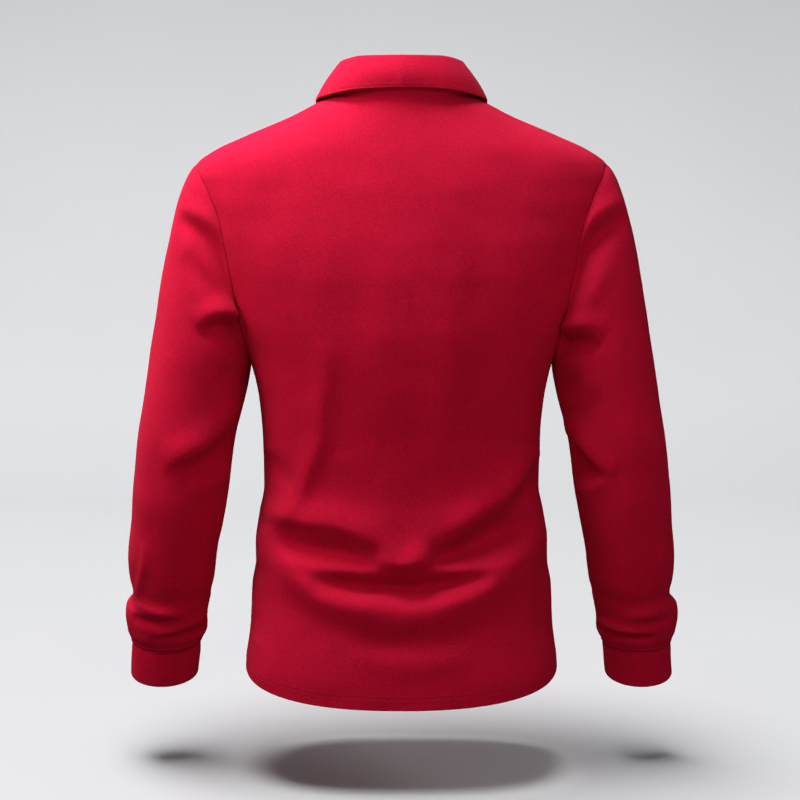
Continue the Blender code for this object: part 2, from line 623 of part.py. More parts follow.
def material(name, colour, roughness):
    """A cloth or plastic finish."""
    made = bpy.data.materials.new(name)
    made.use_nodes = True
    shader = made.node_tree.nodes["Principled BSDF"]
    shader.inputs["Base Color"].default_value = colour
    shader.inputs["Roughness"].default_value = roughness
    shader.inputs["Metallic"].default_value = 0.0
    made.diffuse_color = colour
    return made


RIM_ORDER = np.array([0.31, 0.53, 0.79])    # two walls that meet split their rims along one line


def wall(name, outer, inner, finish, home, ring=False, missing=None):
    """A closed wall between an outer and an inner grid of points; missing cells are left out.

    Each cell is split along the diagonal on which the cloth turns less, so that folds run clean."""
    rows, columns = outer.shape[:2]
    points = columns - 1 if ring else columns
    cells = np.ones((rows - 1, columns - 1), dtype=bool)
    if missing is not None:
        cells[missing] = False

    def number(layer, i, j):
        return layer * rows * points + i * points + j % points

    def there(i, j):
        if ring:
            j %= columns - 1
        return 0 <= i < rows - 1 and 0 <= j < columns - 1 and cells[i, j]

    through = outer - inner
    faces = []
    for i, j in zip(*np.nonzero(cells)):
        corners = ((i, j), (i, j + 1), (i + 1, j + 1), (i + 1, j))
        turns = [np.linalg.norm(through[corners[k]] - through[corners[k + 2]]) for k in (0, 1)]
        first = int(turns[1] < turns[0])
        for steps in ((0, 1, 2), (0, 2, 3)):
            half = [corners[(first + step) % 4] for step in steps]
            faces.append([number(0, *corner) for corner in half])
            faces.append([number(1, *corner) for corner in reversed(half)])
        beyond = ((i - 1, j), (i, j + 1), (i + 1, j), (i, j - 1))
        for k, neighbour in enumerate(beyond):
            if not there(*neighbour):
                a, b = corners[k], corners[(k + 1) % 4]
                rim = [number(0, *b), number(0, *a), number(1, *a), number(1, *b)]
                first = 1 if outer[a] @ RIM_ORDER > outer[b] @ RIM_ORDER else 0
                faces.append([rim[first], rim[first + 1], rim[first + 2]])
                faces.append([rim[first], rim[first + 2], rim[(first + 3) % 4]])
    vertices = np.concatenate([outer[:, :points].reshape(-1, 3), inner[:, :points].reshape(-1, 3)])
    used = sorted({index for face in faces for index in face})
    renumber = {old: new for new, old in enumerate(used)}
    mesh = bpy.data.meshes.new(name)
    mesh.from_pydata([vertices[k] for k in used], [],
                     [[renumber[index] for index in face] for face in faces])
    made = bpy.data.objects.new(name, mesh)
    home.objects.link(made)
    face_out(made)
    mesh.materials.append(finish)
    mesh.shade_smooth()
    mesh.set_sharp_from_angle(angle=SHARP_EDGE)
    return made


def face_out(made):
    """Turn a closed mesh's faces outwards."""
    mesh = made.data
    volume = 0.0
    mesh.calc_loop_triangles()
    for triangle in mesh.loop_triangles:
        a, b, c = (mesh.vertices[k].co for k in triangle.vertices)
        volume += a.dot(b.cross(c))
    if volume < 0:
        mesh.flip_normals()


def button(name, place, way, finish, home):
    """A turned button with a raised rim, lying on the placket."""
    rim = BUTTON_HEIGHT
    profile = ((0.0, 0.62 * rim), (0.60, 0.62 * rim), (0.72, rim), (0.90, rim),
               (1.0, 0.60 * rim), (1.0, 0.35 * rim), (0.80, 0.0), (0.0, 0.0))
    mesh = bpy.data.meshes.new(name)
    points = [(share * BUTTON_RADIUS, 0.0, height) for share, height in profile]
    mesh.from_pydata(points, [(k, k + 1) for k in range(len(points) - 1)], [])
    made = bpy.data.objects.new(name, mesh)
    home.objects.link(made)
    turn = made.modifiers.new("turn", "SCREW")
    turn.steps = 16
    turn.render_steps = 16
    turn.use_merge_vertices = True
    turn.merge_threshold = 0.00001
    made.location = place
    made.rotation_mode = "QUATERNION"
    made.rotation_quaternion = Vector((0.0, 0.0, 1.0)).rotation_difference(Vector(way))
    mesh.materials.append(finish)
    return made


def between(grid, rows, columns):
    """Points read from a grid at places that may lie between its own."""
    i = np.minimum(rows.astype(int), grid.shape[0] - 2)
    j = np.minimum(columns.astype(int), grid.shape[1] - 2)
    u = (rows - i)[:, None, None]
    v = (columns - j)[None, :, None]
    low = grid[i][:, j] * (1 - v) + grid[i][:, j + 1] * v
    high = grid[i + 1][:, j] * (1 - v) + grid[i + 1][:, j + 1] * v
    return low * (1 - u) + high * u


def placket(front, ways, finish, home):
    """Over and under placket in the slit at the top of the front, and the buttons on them."""
    centre = front.shape[1] // 2
    first = front.shape[0] - 1 - PLACKET_ROWS
    band = front[first:, centre - 1:centre + 2].copy()
    band_ways = ways[first:, centre - 1:centre + 2]
    across = unit(band[:, 2] - band[:, 0])
    band[:, 0] += across * SEAM
    band[:, 2] -= across * SEAM
    band[0] += unit(band[1] - band[0]) * SEAM
    band[-1] += unit(band[-2] - band[-1]) * SEAM / 2
    wall("placket_over", band + band_ways * PLACKET_PROUD, band - band_ways * CLOTH, finish, home)

    rows = np.arange(first, front.shape[0], dtype=float)
    rows[0] -= UNDER_PLACKET_OVERLAP / np.linalg.norm(front[first, centre]
                                                      - front[first - 1, centre])
    rows[-1] -= UNDER_PLACKET_DROP
    beside = UNDER_PLACKET_OVERLAP / np.linalg.norm(front[first, centre + 1]
                                                    - front[first, centre + 2])
    columns = centre + np.array([-1.0 - beside, -1.0, 0.0, 1.0, 1.0 + beside])
    under = between(front, rows, columns)
    through = between(ways, rows, columns)
    wall("placket_under", under - through * (CLOTH + UNDER_PLACKET_GAP),
         under - through * (2 * CLOTH + UNDER_PLACKET_GAP), finish, home)

    plastic = material("button_plastic", BUTTON_RED, 0.35)
    for name, row in BUTTON_ROWS.items():
        low = int(row)
        share = row - low
        place = band[low, 1] * (1 - share) + band[low + 1, 1] * share
        way = unit(band_ways[low, 1] * (1 - share) + band_ways[low + 1, 1] * share)
        button(name, place + way * (PLACKET_PROUD + SEAM), way, plastic, home)


EDGES = {"back": panel_runs, "front": panel_runs, "sleeve": sleeve_runs, "cuff": cuff_runs,
         "collar": stand_runs}


def main():
    for old in list(bpy.data.objects):
        bpy.data.objects.remove(old, do_unlink=True)
    home = bpy.data.collections.new("long_sleeve_polo_shirt")
    bpy.context.scene.collection.children.link(home)
    knit = material("knit", RED, 0.85)
    rib = material("rib", RIB_RED, 0.85)

    back = folded(panel(1, BACK_HALF_COLUMNS, None), 1, BACK_FOLDS)
    front = folded(panel(-1, FRONT_HALF_COLUMNS, PLACKET_HALF), -1, FRONT_FOLDS)
    skins = [(back, 1, "body"), (front, -1, "body")]
    sides = (("left", 1), ("right", -1))
    for _, side in sides:
        loop = armhole_loop(back, front, side)
        sleeve_grid = sleeve(loop, side)
        skins.append((sleeve_grid, side, "sleeve"))
        skins.append((cuff(side, len(loop)), side, "cuff"))
    stand = stand_grid(neck_loop(back, front))
    skins.append((stand, -1, "stand"))
    ways = wall_directions(skins)

    centre = front.shape[1] // 2
    slit = (slice(front.shape[0] - 1 - PLACKET_ROWS, None), slice(centre - 1, centre + 1))
    names = ("back", "front", "sleeve_left", "cuff_left", "sleeve_right", "cuff_right",
             "collar_stand")
    for name, (grid, _, _), way in zip(names, skins, ways):
        tube = name.startswith(("sleeve", "cuff"))
        outer = grid.copy()
        inner = grid - way * CLOTH
        draw_back(outer, inner, EDGES[name.split("_")[0]](grid))
        finish = rib if name.startswith(("cuff", "collar")) else knit
        wall(name, outer, inner, finish, home, ring=tube, missing=slit if name == "front" else None)
        if name == "front":
            placket(grid, way, knit, home)
    shown, hidden = leaf_grids(stand[-1])
    wall("collar_leaf", shown, hidden, rib, home)


main()
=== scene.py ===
"""Looks of the long-sleeve polo shirt: cloth with its folds, sewing, buttons, studio and camera.

Metres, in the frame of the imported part: +Z up, the front faces -Y, the wearer's left is +X. Each
piece of cloth is a thin closed shell on the same form as its solid, laid out much more finely, with
the creases of worn cloth. Seams are where two shells with rounded rims meet.
"""
import json
import math
from collections import namedtuple

import bpy
import numpy as np
from mathutils import Matrix, Vector

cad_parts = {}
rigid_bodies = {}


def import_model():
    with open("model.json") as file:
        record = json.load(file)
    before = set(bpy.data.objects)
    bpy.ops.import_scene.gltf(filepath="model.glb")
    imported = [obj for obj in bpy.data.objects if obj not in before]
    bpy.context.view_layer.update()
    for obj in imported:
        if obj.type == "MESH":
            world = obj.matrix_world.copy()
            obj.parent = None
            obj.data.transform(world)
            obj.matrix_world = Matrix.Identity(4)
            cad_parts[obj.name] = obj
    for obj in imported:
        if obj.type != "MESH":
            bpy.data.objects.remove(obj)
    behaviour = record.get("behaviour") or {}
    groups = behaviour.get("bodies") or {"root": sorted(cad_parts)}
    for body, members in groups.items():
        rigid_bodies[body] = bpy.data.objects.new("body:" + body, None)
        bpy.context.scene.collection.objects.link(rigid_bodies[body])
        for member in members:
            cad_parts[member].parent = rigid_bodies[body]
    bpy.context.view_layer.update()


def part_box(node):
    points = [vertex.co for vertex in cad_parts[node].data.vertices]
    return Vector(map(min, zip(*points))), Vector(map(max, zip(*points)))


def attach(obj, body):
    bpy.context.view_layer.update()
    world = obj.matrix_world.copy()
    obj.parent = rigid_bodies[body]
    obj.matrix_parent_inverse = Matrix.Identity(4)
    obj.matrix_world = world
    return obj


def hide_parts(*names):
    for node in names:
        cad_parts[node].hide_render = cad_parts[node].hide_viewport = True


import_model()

# Cloth
CLOTH = 0.0020  # wall of each piece of cloth
SEAM = 0.0003  # space between two pieces at a seam
RIM_STEPS = 4  # facets round the edge of the cloth
SEAM_CLOSE = 0.0001  # how far the rounded rims of two pieces press into each other
SEAM_SINK = 0.0006  # how far a seam draws the cloth in
SEAM_REACH = 0.0045
SEAM_START = 0.0015  # nothing is drawn in at the very edge, and all of it from here on
RIM_PULLS = (0.0002, 0.0035)  # the least and the most that a rim stands back from its seam
SHARPEST = 0.98  # sine of the sharpest turn that a seam makes
MITRE = 0.6  # a corner of a rim reaches out by no more than one over this
FOLD_FADE = 0.018  # folds fade over this distance towards a seam
SLEEVE_FADE = 0.008  # and over this one on a sleeve
OPEN_FADE = 0.004  # how much less they fade at an open edge
LIP = 0.0011  # how far a sleeve stands proud of its cuff just above the seam
LIP_PLACE = 0.0028
SEED = 7

# Body: heights are measured down from the top of the shoulder seam
SHOULDER_TIP = -0.075
UNDERARM = -0.298
UNDERARM_CENTRE = -0.300
SIDE_HEM = -0.640
BACK_HEM = -0.668
FRONT_HEM = -0.658
NECK_BACK = 0.000
NECK_FRONT = -0.072
BACK_AT_TIP = -0.100  # height at the middle of the back of the row that ends at the tip
FRONT_AT_TIP = -0.135
PLACKET_END = -0.1845  # height of the lower end of the placket
ARMHOLE_BACK = 0.056  # how far the armhole reaches behind and before the shoulder seam
ARMHOLE_FRONT = 0.060
NECK_SCOOP = 1.0  # 1: a row rises like an ellipse, 2: like a wave
TIP_SCOOP = 2.0
HEM_SCOOP = 0.95

# Placket
PLACKET_HALF = 0.015
PLACKET_PROUD = 0.0008
UNDER_PLACKET_GAP = 0.0004

# Cuffs and collar
CUFF_TOP = -0.6225
CUFF_BOTTOM = -0.6610
COLLAR_GAP = 0.0030  # room inside the collar's fold
COLLAR_END = 0.0012  # each collar end stops this far from the centre front
STAND_CURVE = 1.5  # more than 1: the stand leans in more towards its top
LEAF_BOW = 0.0040
FOLD_END = 0.60  # angle from level at which the leaf leaves its fold
STAND_TUCK = 0.0014  # how far the stand reaches down inside the body at the neck seam

# How finely the cloth is divided
SKIRT_ROWS = 134
ARMHOLE_ROWS = 58
SHOULDER_ROWS = 38
BODY_HALF_COLUMNS = 76
PLACKET_HALF_COLUMNS = 5
CAP_ROWS = 58
ARM_ROWS = 104
CUFF_ROWS = 14
STAND_ROWS = 12
FOLD_STEPS = 8
LEAF_STEPS = 26
FINE = 400  # points along a curve before it is divided evenly
EDGE_CLOSER = 0.55  # how much closer rows and columns are towards a seam

# Body form: height, half width, reach behind, reach before, how square its corners are
BODY = (
    (0.000, 0.0750, 0.0620, 0.0400, 2.00),
    (-0.010, 0.0960, 0.0660, 0.0480, 2.00),
    (-0.022, 0.1190, 0.0710, 0.0560, 2.00),
    (-0.045, 0.1730, 0.0810, 0.0700, 1.95),
    (-0.060, 0.2060, 0.0870, 0.0780, 1.90),
    (-0.075, 0.2265, 0.0920, 0.0850, 1.85),
    (-0.092, 0.2335, 0.0970, 0.0910, 1.85),
    (-0.110, 0.2335, 0.1015, 0.0975, 1.87),
    (-0.130, 0.2275, 0.1055, 0.1035, 1.95),
    (-0.160, 0.2190, 0.1100, 0.1115, 2.10),
    (-0.200, 0.2070, 0.1135, 0.1180, 2.20),
    (-0.245, 0.1909, 0.1135, 0.1200, 2.25),
    (-0.299, 0.1677, 0.1090, 0.1170, 2.30),
    (-0.340, 0.1594, 0.1035, 0.1120, 2.35),
    (-0.385, 0.1556, 0.0970, 0.1070, 2.40),
    (-0.436, 0.1551, 0.0940, 0.1040, 2.40),
    (-0.464, 0.1602, 0.0955, 0.1035, 2.40),
    (-0.492, 0.1640, 0.0980, 0.1040, 2.40),
    (-0.520, 0.1648, 0.1010, 0.1050, 2.40),
    (-0.547, 0.1695, 0.1050, 0.1060, 2.40),
    (-0.590, 0.1715, 0.1100, 0.1080, 2.55),
    (-0.645, 0.1772, 0.1145, 0.1100, 2.80),
    (-0.690, 0.1776, 0.1155, 0.1110, 2.80),
)

# Level rings of a sleeve: height, out from the middle of the shirt, back, half width, half
# depth, and the tilt in degrees that turns the back of a ring down
SLEEVE = (
    (-0.3400, 0.2329, 0.0020, 0.0569, 0.0640, 0.0),
    (-0.3850, 0.2424, 0.0040, 0.0547, 0.0610, 1.0),
    (-0.4360, 0.2486, 0.0040, 0.0540, 0.0580, 3.0),
    (-0.4780, 0.2540, 0.0000, 0.0518, 0.0550, 5.0),
    (-0.5200, 0.2608, -0.0060, 0.0502, 0.0520, 7.0),
    (-0.5450, 0.2620, -0.0100, 0.0478, 0.0495, 8.0),
    (-0.5640, 0.2622, -0.0130, 0.0438, 0.0455, 8.0),
    (-0.5780, 0.2684, -0.0155, 0.0474, 0.0475, 8.0),
    (-0.5930, 0.2702, -0.0180, 0.0468, 0.0465, 8.0),
    (-0.6070, 0.2696, -0.0200, 0.0455, 0.0450, 8.0),
    (-0.6225, 0.2709, -0.0225, 0.0398, 0.0385, 8.0),
    (-0.6610, 0.2743, -0.0270, 0.0388, 0.0385, 14.0),
)

# How the cloth leaves the armhole and how strongly it keeps to each end, over the arm and under it
Cap = namedtuple("Cap", "out fall leave arrive")
CAP_OVER = Cap(0.77, -0.64, 0.41, 1.40)
CAP_UNDER = Cap(0.15, -0.98, 0.95, 0.95)
CAP_BACK = 0.25
ARM_STEP = 0.004  # how far down the arm its way is looked at

# Collar, from the middle of the back (0) to the middle of the front (1): place, rise and lean of
# the stand, and where the edge of the leaf lies: out, back and height
COLLAR = (
    (0.00, 0.0392, 0.0060, 0.0000, 0.0710, 0.0080),
    (0.18, 0.0386, 0.0078, 0.0420, 0.0640, 0.0065),
    (0.34, 0.0338, 0.0100, 0.0780, 0.0380, 0.0005),
    (0.48, 0.0315, 0.0120, 0.0950, 0.0000, -0.0060),
    (0.62, 0.0280, 0.0115, 0.0960, -0.0360, -0.0170),
    (0.80, 0.0265, 0.0105, 0.0800, -0.0740, -0.0550),
    (1.00, 0.0260, 0.0100, 0.0500, -0.1040, -0.1050),
)

# Folds as seen from the back (side 1) or front (side -1). A fold's line starts, bends and ends at
# places (x, z) on the cloth; it spreads over one width on its upper side and another on its lower
# side. Upright folds count the wearer's left as their upper side. The rows are in millimetres.
Fold = namedtuple("Fold", "side start middle end upper lower height")
FOLD_POINTS = 33  # points along a fold's bent line
FOLD_TAPER = 0.7  # less than 1: a fold keeps its height for longer along its line
FOLD_TURN = 0.35  # a fold fades where the cloth turns this near to side-on
FOLD_WANDER = (0.0012, 0.075)  # how far a fold strays from its line, and over what length
FOLD_CHANGE = (0.10, 0.060)  # by what share its height changes, and over what length
LEFT_IS_UP = 0.5  # how much a way to the left counts as up
FOLD_REACH = 2.6  # widths from its line over which a fold is worked out
WAVES = 14  # waves that make up an uneven field
WAVE_PACES = (0.6, 1.4)  # how much slower or quicker than the mean they are


def folded(side, rows):
    """The folds of one side of a piece, from rows of millimetres."""
    return [Fold(side, *(np.array(value) / 1000 for value in row)) for row in rows]


BACK_FOLDS = folded(1, (
    # long soft folds from the shoulder blades to the waist
    ((84, -260), (94, -392), (147, -486), 16, 9, 6.0),
    ((54, -100), (53, -240), (62, -390), 26, 24, -2.4),
    ((-82, -100), (-86, -240), (-79, -380), 24, 28, -3.6),
    ((-56, -170), (-54, -292), (-44, -400), 18, 18, 2.5),
    # the two edges that come down to a V, its tip, and the pockets under them
    ((152, -468), (82, -463), (4, -495), 22, 10, 9.5),
    ((-150, -388), (-106, -438), (-8, -497), 22, 14, 10.5),
    ((32, -497), (-4, -505), (-38, -497), 17, 9, 10.8),
    ((146, -489), (82, -494), (22, -506), 11, 10, -10.0),
    ((-148, -462), (-88, -486), (-28, -506), 19, 10, -18.5),
    # the lips under the pockets and the hollow below them
    ((132, -506), (80, -514), (20, -522), 8, 9, 5.2),
    ((-28, -522), (-80, -515), (-132, -502), 8, 9, 5.5),
    ((96, -524), (2, -533), (-96, -521), 10, 12, -18.8),
    # the long swag under them all, and what it leaves above the hem
    ((150, -474), (98, -533), (-22, -562), 15, 22, 10.8),
    ((26, -562), (-94, -533), (-149, -466), 15, 22, 10.4),
    ((100, -568), (2, -592), (-96, -568), 14, 14, -3.4),
    ((60, -606), (-9, -616), (-80, -606), 13, 15, 2.2),
    # dimples and creases by the side seams
    ((150, -392), (138, -411), (116, -426), 14, 14, -3.6),
    ((-158, -402), (-141, -428), (-118, -452), 13, 13, -9.2),
    ((163, -520), (155, -560), (160, -606), 11, 11, -3.4),
    ((-163, -520), (-155, -560), (-160, -606), 11, 11, -3.4),
))
FRONT_FOLDS = folded(-1, (
    # soft drags from the armholes, and long folds from the chest
    ((172, -232), (142, -262), (100, -282), 12, 12, -3.5),
    ((-174, -224), (-138, -258), (-104, -288), 12, 12, -4.0),
    ((76, -250), (80, -350), (120, -446), 13, 13, 4.0),
    ((-70, -240), (-78, -345), (-114, -438), 13, 13, 3.5),
    ((30, -270), (26, -370), (40, -470), 18, 18, -3.0),
    # the waist settles in shallow swags
    ((150, -430), (90, -470), (10, -484), 14, 9, 5.0),
    ((-152, -440), (-84, -472), (-4, -486), 14, 9, 4.5),
    ((140, -462), (60, -500), (-50, -506), 10, 13, -6.0),
    ((70, -528), (-40, -532), (-146, -484), 13, 11, 5.5),
    ((150, -510), (100, -548), (30, -556), 13, 11, 4.5),
    ((50, -566), (-50, -566), (-132, -530), 12, 14, -4.0),
    ((156, -560), (150, -590), (158, -620), 10, 10, -2.5),
    ((-156, -556), (-150, -586), (-158, -618), 10, 10, -2.5),
))
LEFT_SLEEVE_FOLDS = folded(1, (
    # drags from the shoulder down to the armpit
    ((244, -126), (212, -139), (186, -186), 12, 10, 4.5),
    ((248, -134), (207, -158), (176, -222), 11, 13, -8.5),
    ((240, -172), (217, -198), (196, -220), 12, 12, -3.0),
    # the fold that runs into the armpit, and what it shades
    ((224, -250), (192, -236), (150, -256), 13, 6, 8.2),
    ((218, -262), (188, -252), (140, -282), 7, 13, -12.0),
    ((200, -300), (182, -310), (160, -330), 12, 12, -3.5),
    # the elbow
    ((266, -404), (222, -384), (180, -340), 18, 7, 7.8),
    ((246, -413), (210, -397), (180, -364), 7, 15, -10.5),
    ((236, -424), (210, -424), (186, -410), 10, 11, 4.0),
    # the blousing above the cuff
    ((290, -496), (291, -530), (304, -570), 5, 5, 3.2),
    ((310, -562), (280, -575), (244, -583), 9, 6, 5.0),
    ((304, -584), (276, -589), (248, -592), 6, 7, -6.2),
    ((280, -602), (246, -598), (216, -582), 8, 5, 4.8),
    ((284, -611), (246, -609), (216, -600), 6, 6, -6.2),
)) + folded(-1, (
    ((232, -150), (206, -180), (188, -214), 13, 13, -5.0),
    ((236, -250), (206, -246), (160, -262), 13, 10, -5.5),
    ((282, -352), (240, -372), (196, -366), 13, 13, -7.0),
    ((288, -378), (246, -396), (200, -392), 13, 11, 6.0),
    ((280, -410), (240, -420), (204, -410), 11, 13, -6.0),
    ((312, -576), (276, -588), (236, -580), 7, 6, 4.8),
    ((300, -596), (270, -604), (240, -598), 5, 6, -4.5),
))
RIGHT_SLEEVE_FOLDS = folded(1, (
    # drags from the shoulder down to the armpit
    ((-184, -176), (-210, -133), (-246, -116), 12, 11, 5.0),
    ((-172, -228), (-206, -163), (-246, -134), 11, 13, -11.5),
    ((-184, -262), (-202, -218), (-228, -176), 13, 13, 4.0),
    # the fold that runs into the armpit, and what it shades
    ((-150, -268), (-188, -250), (-220, -258), 12, 6, 7.5),
    ((-140, -292), (-184, -268), (-218, -276), 7, 13, -12.0),
    ((-160, -330), (-180, -316), (-198, -312), 12, 12, -4.0),
    ((-214, -318), (-206, -341), (-196, -364), 12, 12, -3.5),
    # the elbow
    ((-178, -352), (-202, -387), (-236, -416), 15, 6, 7.4),
    ((-184, -378), (-200, -403), (-220, -424), 7, 14, -9.8),
    ((-190, -434), (-211, -430), (-232, -416), 11, 11, 3.8),
    # the blousing above the cuff
    ((-291, -500), (-294, -531), (-304, -570), 5, 5, 3.2),
    ((-312, -566), (-284, -577), (-250, -582), 9, 7, 4.0),
    ((-306, -586), (-280, -591), (-254, -594), 7, 7, -3.8),
    ((-218, -590), (-250, -598), (-288, -598), 7, 5, 5.2),
    ((-218, -603), (-250, -609), (-290, -609), 6, 6, -6.0),
)) + folded(-1, (
    ((-234, -144), (-208, -176), (-190, -220), 13, 13, -5.5),
    ((-230, -262), (-204, -256), (-160, -268), 13, 10, -5.5),
    ((-280, -362), (-238, -378), (-196, -370), 13, 13, -7.0),
    ((-284, -390), (-244, -404), (-202, -398), 13, 11, 6.0),
    ((-276, -420), (-238, -428), (-206, -418), 11, 13, -5.5),
    ((-310, -570), (-274, -584), (-238, -576), 7, 6, 4.8),
    ((-302, -592), (-268, -602), (-238, -596), 5, 6, -4.5),
))

# Slow unevenness of cloth that has been worn: size of a wave and how far it lifts the cloth
UNEVEN = ((0.070, 0.00035), (0.030, 0.00010))

# Sewing
STITCH_LENGTH = 0.0024
STITCH_PITCH = 0.0030
THREAD = 0.00026  # radius of the thread
THREAD_GUIDE = (0.137, 0.911, 0.388)  # a way that no thread follows
STITCH_SIDES = 5
THREAD_SIDES = 8
# along the stitch, out of the cloth in radii, and thickness in radii
STITCH_PROFILE = ((-0.50, -0.5, 0.55), (-0.30, 0.45, 1.0), (0.30, 0.45, 1.0), (0.50, -0.5, 0.55))
HEM_LINES = (0.0115, 0.0165)  # from the hem to each line of stitches
ARMHOLE_STITCHES = 0.0042
NECK_STITCHES = 0.0032
LEAF_STITCHES = 0.0048
LEAF_END = 4  # columns at each end of the collar that its stitches leave free
PLACKET_STITCHES = 0.0022
PLACKET_BOX = 0.0092  # from the end of the placket to the upper stitches across it

# Buttons
BUTTON_RADIUS = 0.0057
BUTTON_HEIGHT = 0.0026
BUTTON_FACE = 0.62  # height of the middle of a button, as a share of its rim's
# a button from its face round the rim to its back, in shares of radius and height
BUTTON_PROFILE = (
    (0.0, BUTTON_FACE), (0.50, BUTTON_FACE), (0.60, 0.66), (0.68, 0.84), (0.75, 0.96),
    (0.82, 1.0), (0.90, 0.97), (0.97, 0.84), (1.0, 0.66), (1.0, 0.48), (0.96, 0.30),
    (0.88, 0.14), (0.76, 0.03), (0.62, 0.0), (0.0, 0.0),
)
BUTTON_HOLE = 0.00085
BUTTON_HOLE_PLACE = 0.00155
BUTTON_THREAD = 0.00034
THREADS_APART = 0.75  # half the way between the two threads in a hole, in their radii
BUTTON_WELD = 0.00001
SHARP_EDGE = 50  # degrees
# the thread over a button: across in holes, up in heights of its face
BUTTON_STITCH = ((-1.0, 0.2), (-1.0, 0.8), (-0.86, 1.05), (-0.5, 1.22), (0.0, 1.26),
                 (0.5, 1.22), (0.86, 1.05), (1.0, 0.8), (1.0, 0.2))
BUTTON_STEPS = 48
HOLE_SIDES = 20
BUTTONHOLE_LENGTH = 0.0148
BUTTONHOLE_HALF = 0.0021
BUTTONHOLE_PITCH = 0.00048
BUTTONHOLE_SLIT = 0.00022
SLIT_SHARES = (0.55, 0.75, 0.92)  # where a slit shows beyond its button
SLIT_PROUD = 0.4  # how far a slit stands out, in its own radii
BUTTONS = ("button_top", "button_middle", "button_bottom")

# Stitches of the knit: width, height
KNIT = (0.00078, 0.00062)
RIB = (0.0012, 0.0009)
RIB_ROWS = 0.35  # how much the rows of a rib show, beside its ridges
# Noise: waves a metre, detail, roughness
FIBRES = (1400.0, 3.0, 0.6)
YARN = (560.0, 2.0, 0.6)
DYE = (16.0, 3.0, 0.55)
TWIST = (2600.0, 2.0, 0.5)
CLOUD = (180.0, 3.0, 0.6)
SCRATCHES = (900.0, 2.0, 0.5)
PAPER_GRAIN = (3.0, 2.0, 0.5)
KNIT_DEPTH = 0.00028  # of the knit in the shader
TWIST_DEPTH = 0.0001

# Colours, as light reflected
RED = (0.60, 0.0058, 0.0310, 1.0)
RIB_RED = (0.58, 0.0056, 0.0300, 1.0)
THREAD_RED = (0.58, 0.0060, 0.0320, 1.0)
# painted shade: the near-black given to the buttonhole slits stands for the shade inside each cut
SLIT_SHADE_RED = (0.05, 0.0005, 0.0030, 1.0)
BUTTON_RED = (0.40, 0.0055, 0.0210, 1.0)
SHEEN = (1.0, 0.42, 0.60, 1.0)
BLACK = (0.0, 0.0, 0.0, 1.0)
PAPER_TONES = (0.74, 0.75, 0.76, 1.0), (0.78, 0.79, 0.80, 1.0)

# Studio
FLOOR = -0.7656
# The paper sweep lies level from near to far and bends up behind the shirt
SWEEP_NEAR = 3.2
SWEEP_FAR = -1.6
SWEEP_BEND = 1.2
SWEEP_TOP = 3.2
SWEEP_HALF = 3.5
SWEEP_STEPS = 16
SHIRT_AIM = (0.0, 0.0, -0.20)
# Lights on the shirt: name, place, size, energy and colour; some are a little cooler
COOL = (1.0, 2.20, 1.65)
PLAIN = (1.0, 1.0, 1.0)
SHIRT_LIGHTS = (
    ("above", (0.34, 0.18, 1.16), 0.70, 21.0, COOL),
    ("left_side", (1.20, 0.32, 0.52), 0.70, 10.5, PLAIN),
    ("left_rim", (0.78, -0.45, 0.88), 0.70, 13.0, COOL),
    ("right", (-0.70, 0.95, 0.15), 0.70, 2.0, PLAIN),
    ("near", (0.25, 1.50, 0.50), 0.90, 4.0, PLAIN),
    ("far", (-0.45, -1.50, 0.55), 0.90, 4.5, PLAIN),
)
FLOOR_LIGHT_PLACE = (0.80, 0.45, 5.20)
FLOOR_LIGHT_SIZE = (2.6, 4.0)  # along x and along y
FLOOR_LIGHT_ENERGY = 358.0
BACKDROP_PLACE = (0.0, 0.6, 2.3)
BACKDROP_AIM = (0.0, -2.8, 1.2)
BACKDROP_SIZE = 2.0
BACKDROP_ENERGY = 4.3
BACKDROP_TONE = (0.98, 0.99, 1.0)
BACKDROP_SPREAD = 1.6
SURROUND_RADIUS = 7.0  # a pale wall all round, which only the camera sees
SURROUND_TONE = (0.62, 0.63, 0.645, 1.0)
WORLD_TONE = (0.93, 0.95, 1.0, 1.0)
WORLD_STRENGTH = 0.165
CAMERA_PLACE = (0.0017, 2.4, 0.005)
CAMERA_AIM = (0.0017, 0.0, -0.340)
CAMERA_LENS = 96.98
CAMERA_SENSOR = 36.0

random = np.random.default_rng(SEED)


def reader(keys, values):
    """A function that reads values between their keys smoothly, with no overshoot."""
    steps = np.diff(keys)
    rises = np.diff(values) / steps
    slopes = np.zeros(len(keys))
    slopes[0], slopes[-1] = rises[0], rises[-1]
    for i in range(1, len(keys) - 1):
        if rises[i - 1] * rises[i] > 0:
            slopes[i] = 2.0 / (1.0 / rises[i - 1] + 1.0 / rises[i])

    def read(place):
        place = np.clip(place, keys[0], keys[-1])
        i = np.clip(np.searchsorted(keys, place) - 1, 0, len(steps) - 1)
        t = (place - keys[i]) / steps[i]
        rising = t * t * (3 - 2 * t)
        leave = t * (1 - t) ** 2 * steps[i] * slopes[i]
        arrive = t * t * (1 - t) * steps[i] * slopes[i + 1]
        return values[i] + (values[i + 1] - values[i]) * rising + leave - arrive

    return read


def readers(table):
    """A reader for each further column of a table, by its first."""
    keys, *columns = np.array(sorted(table)).T
    return [reader(keys, values) for values in columns]


body_half_width, body_back, body_front, body_corner = readers(BODY)
sleeve_readers = readers(SLEEVE)
collar_rise, collar_lean, edge_out, edge_back, edge_height = readers(COLLAR)


def body_reach(height, side):
    """How far the body form reaches behind (side 1) or before (side -1) the shoulder seam."""
    return body_back(height) if side > 0 else body_front(height)


def body_depth(across, height, side):
    """y of the body form at a distance across and a height."""
    corner = body_corner(height)
    used = np.clip(np.abs(across) / body_half_width(height), 0.0, 1.0) ** corner
    return side * body_reach(height, side) * (1.0 - used) ** (1.0 / corner)


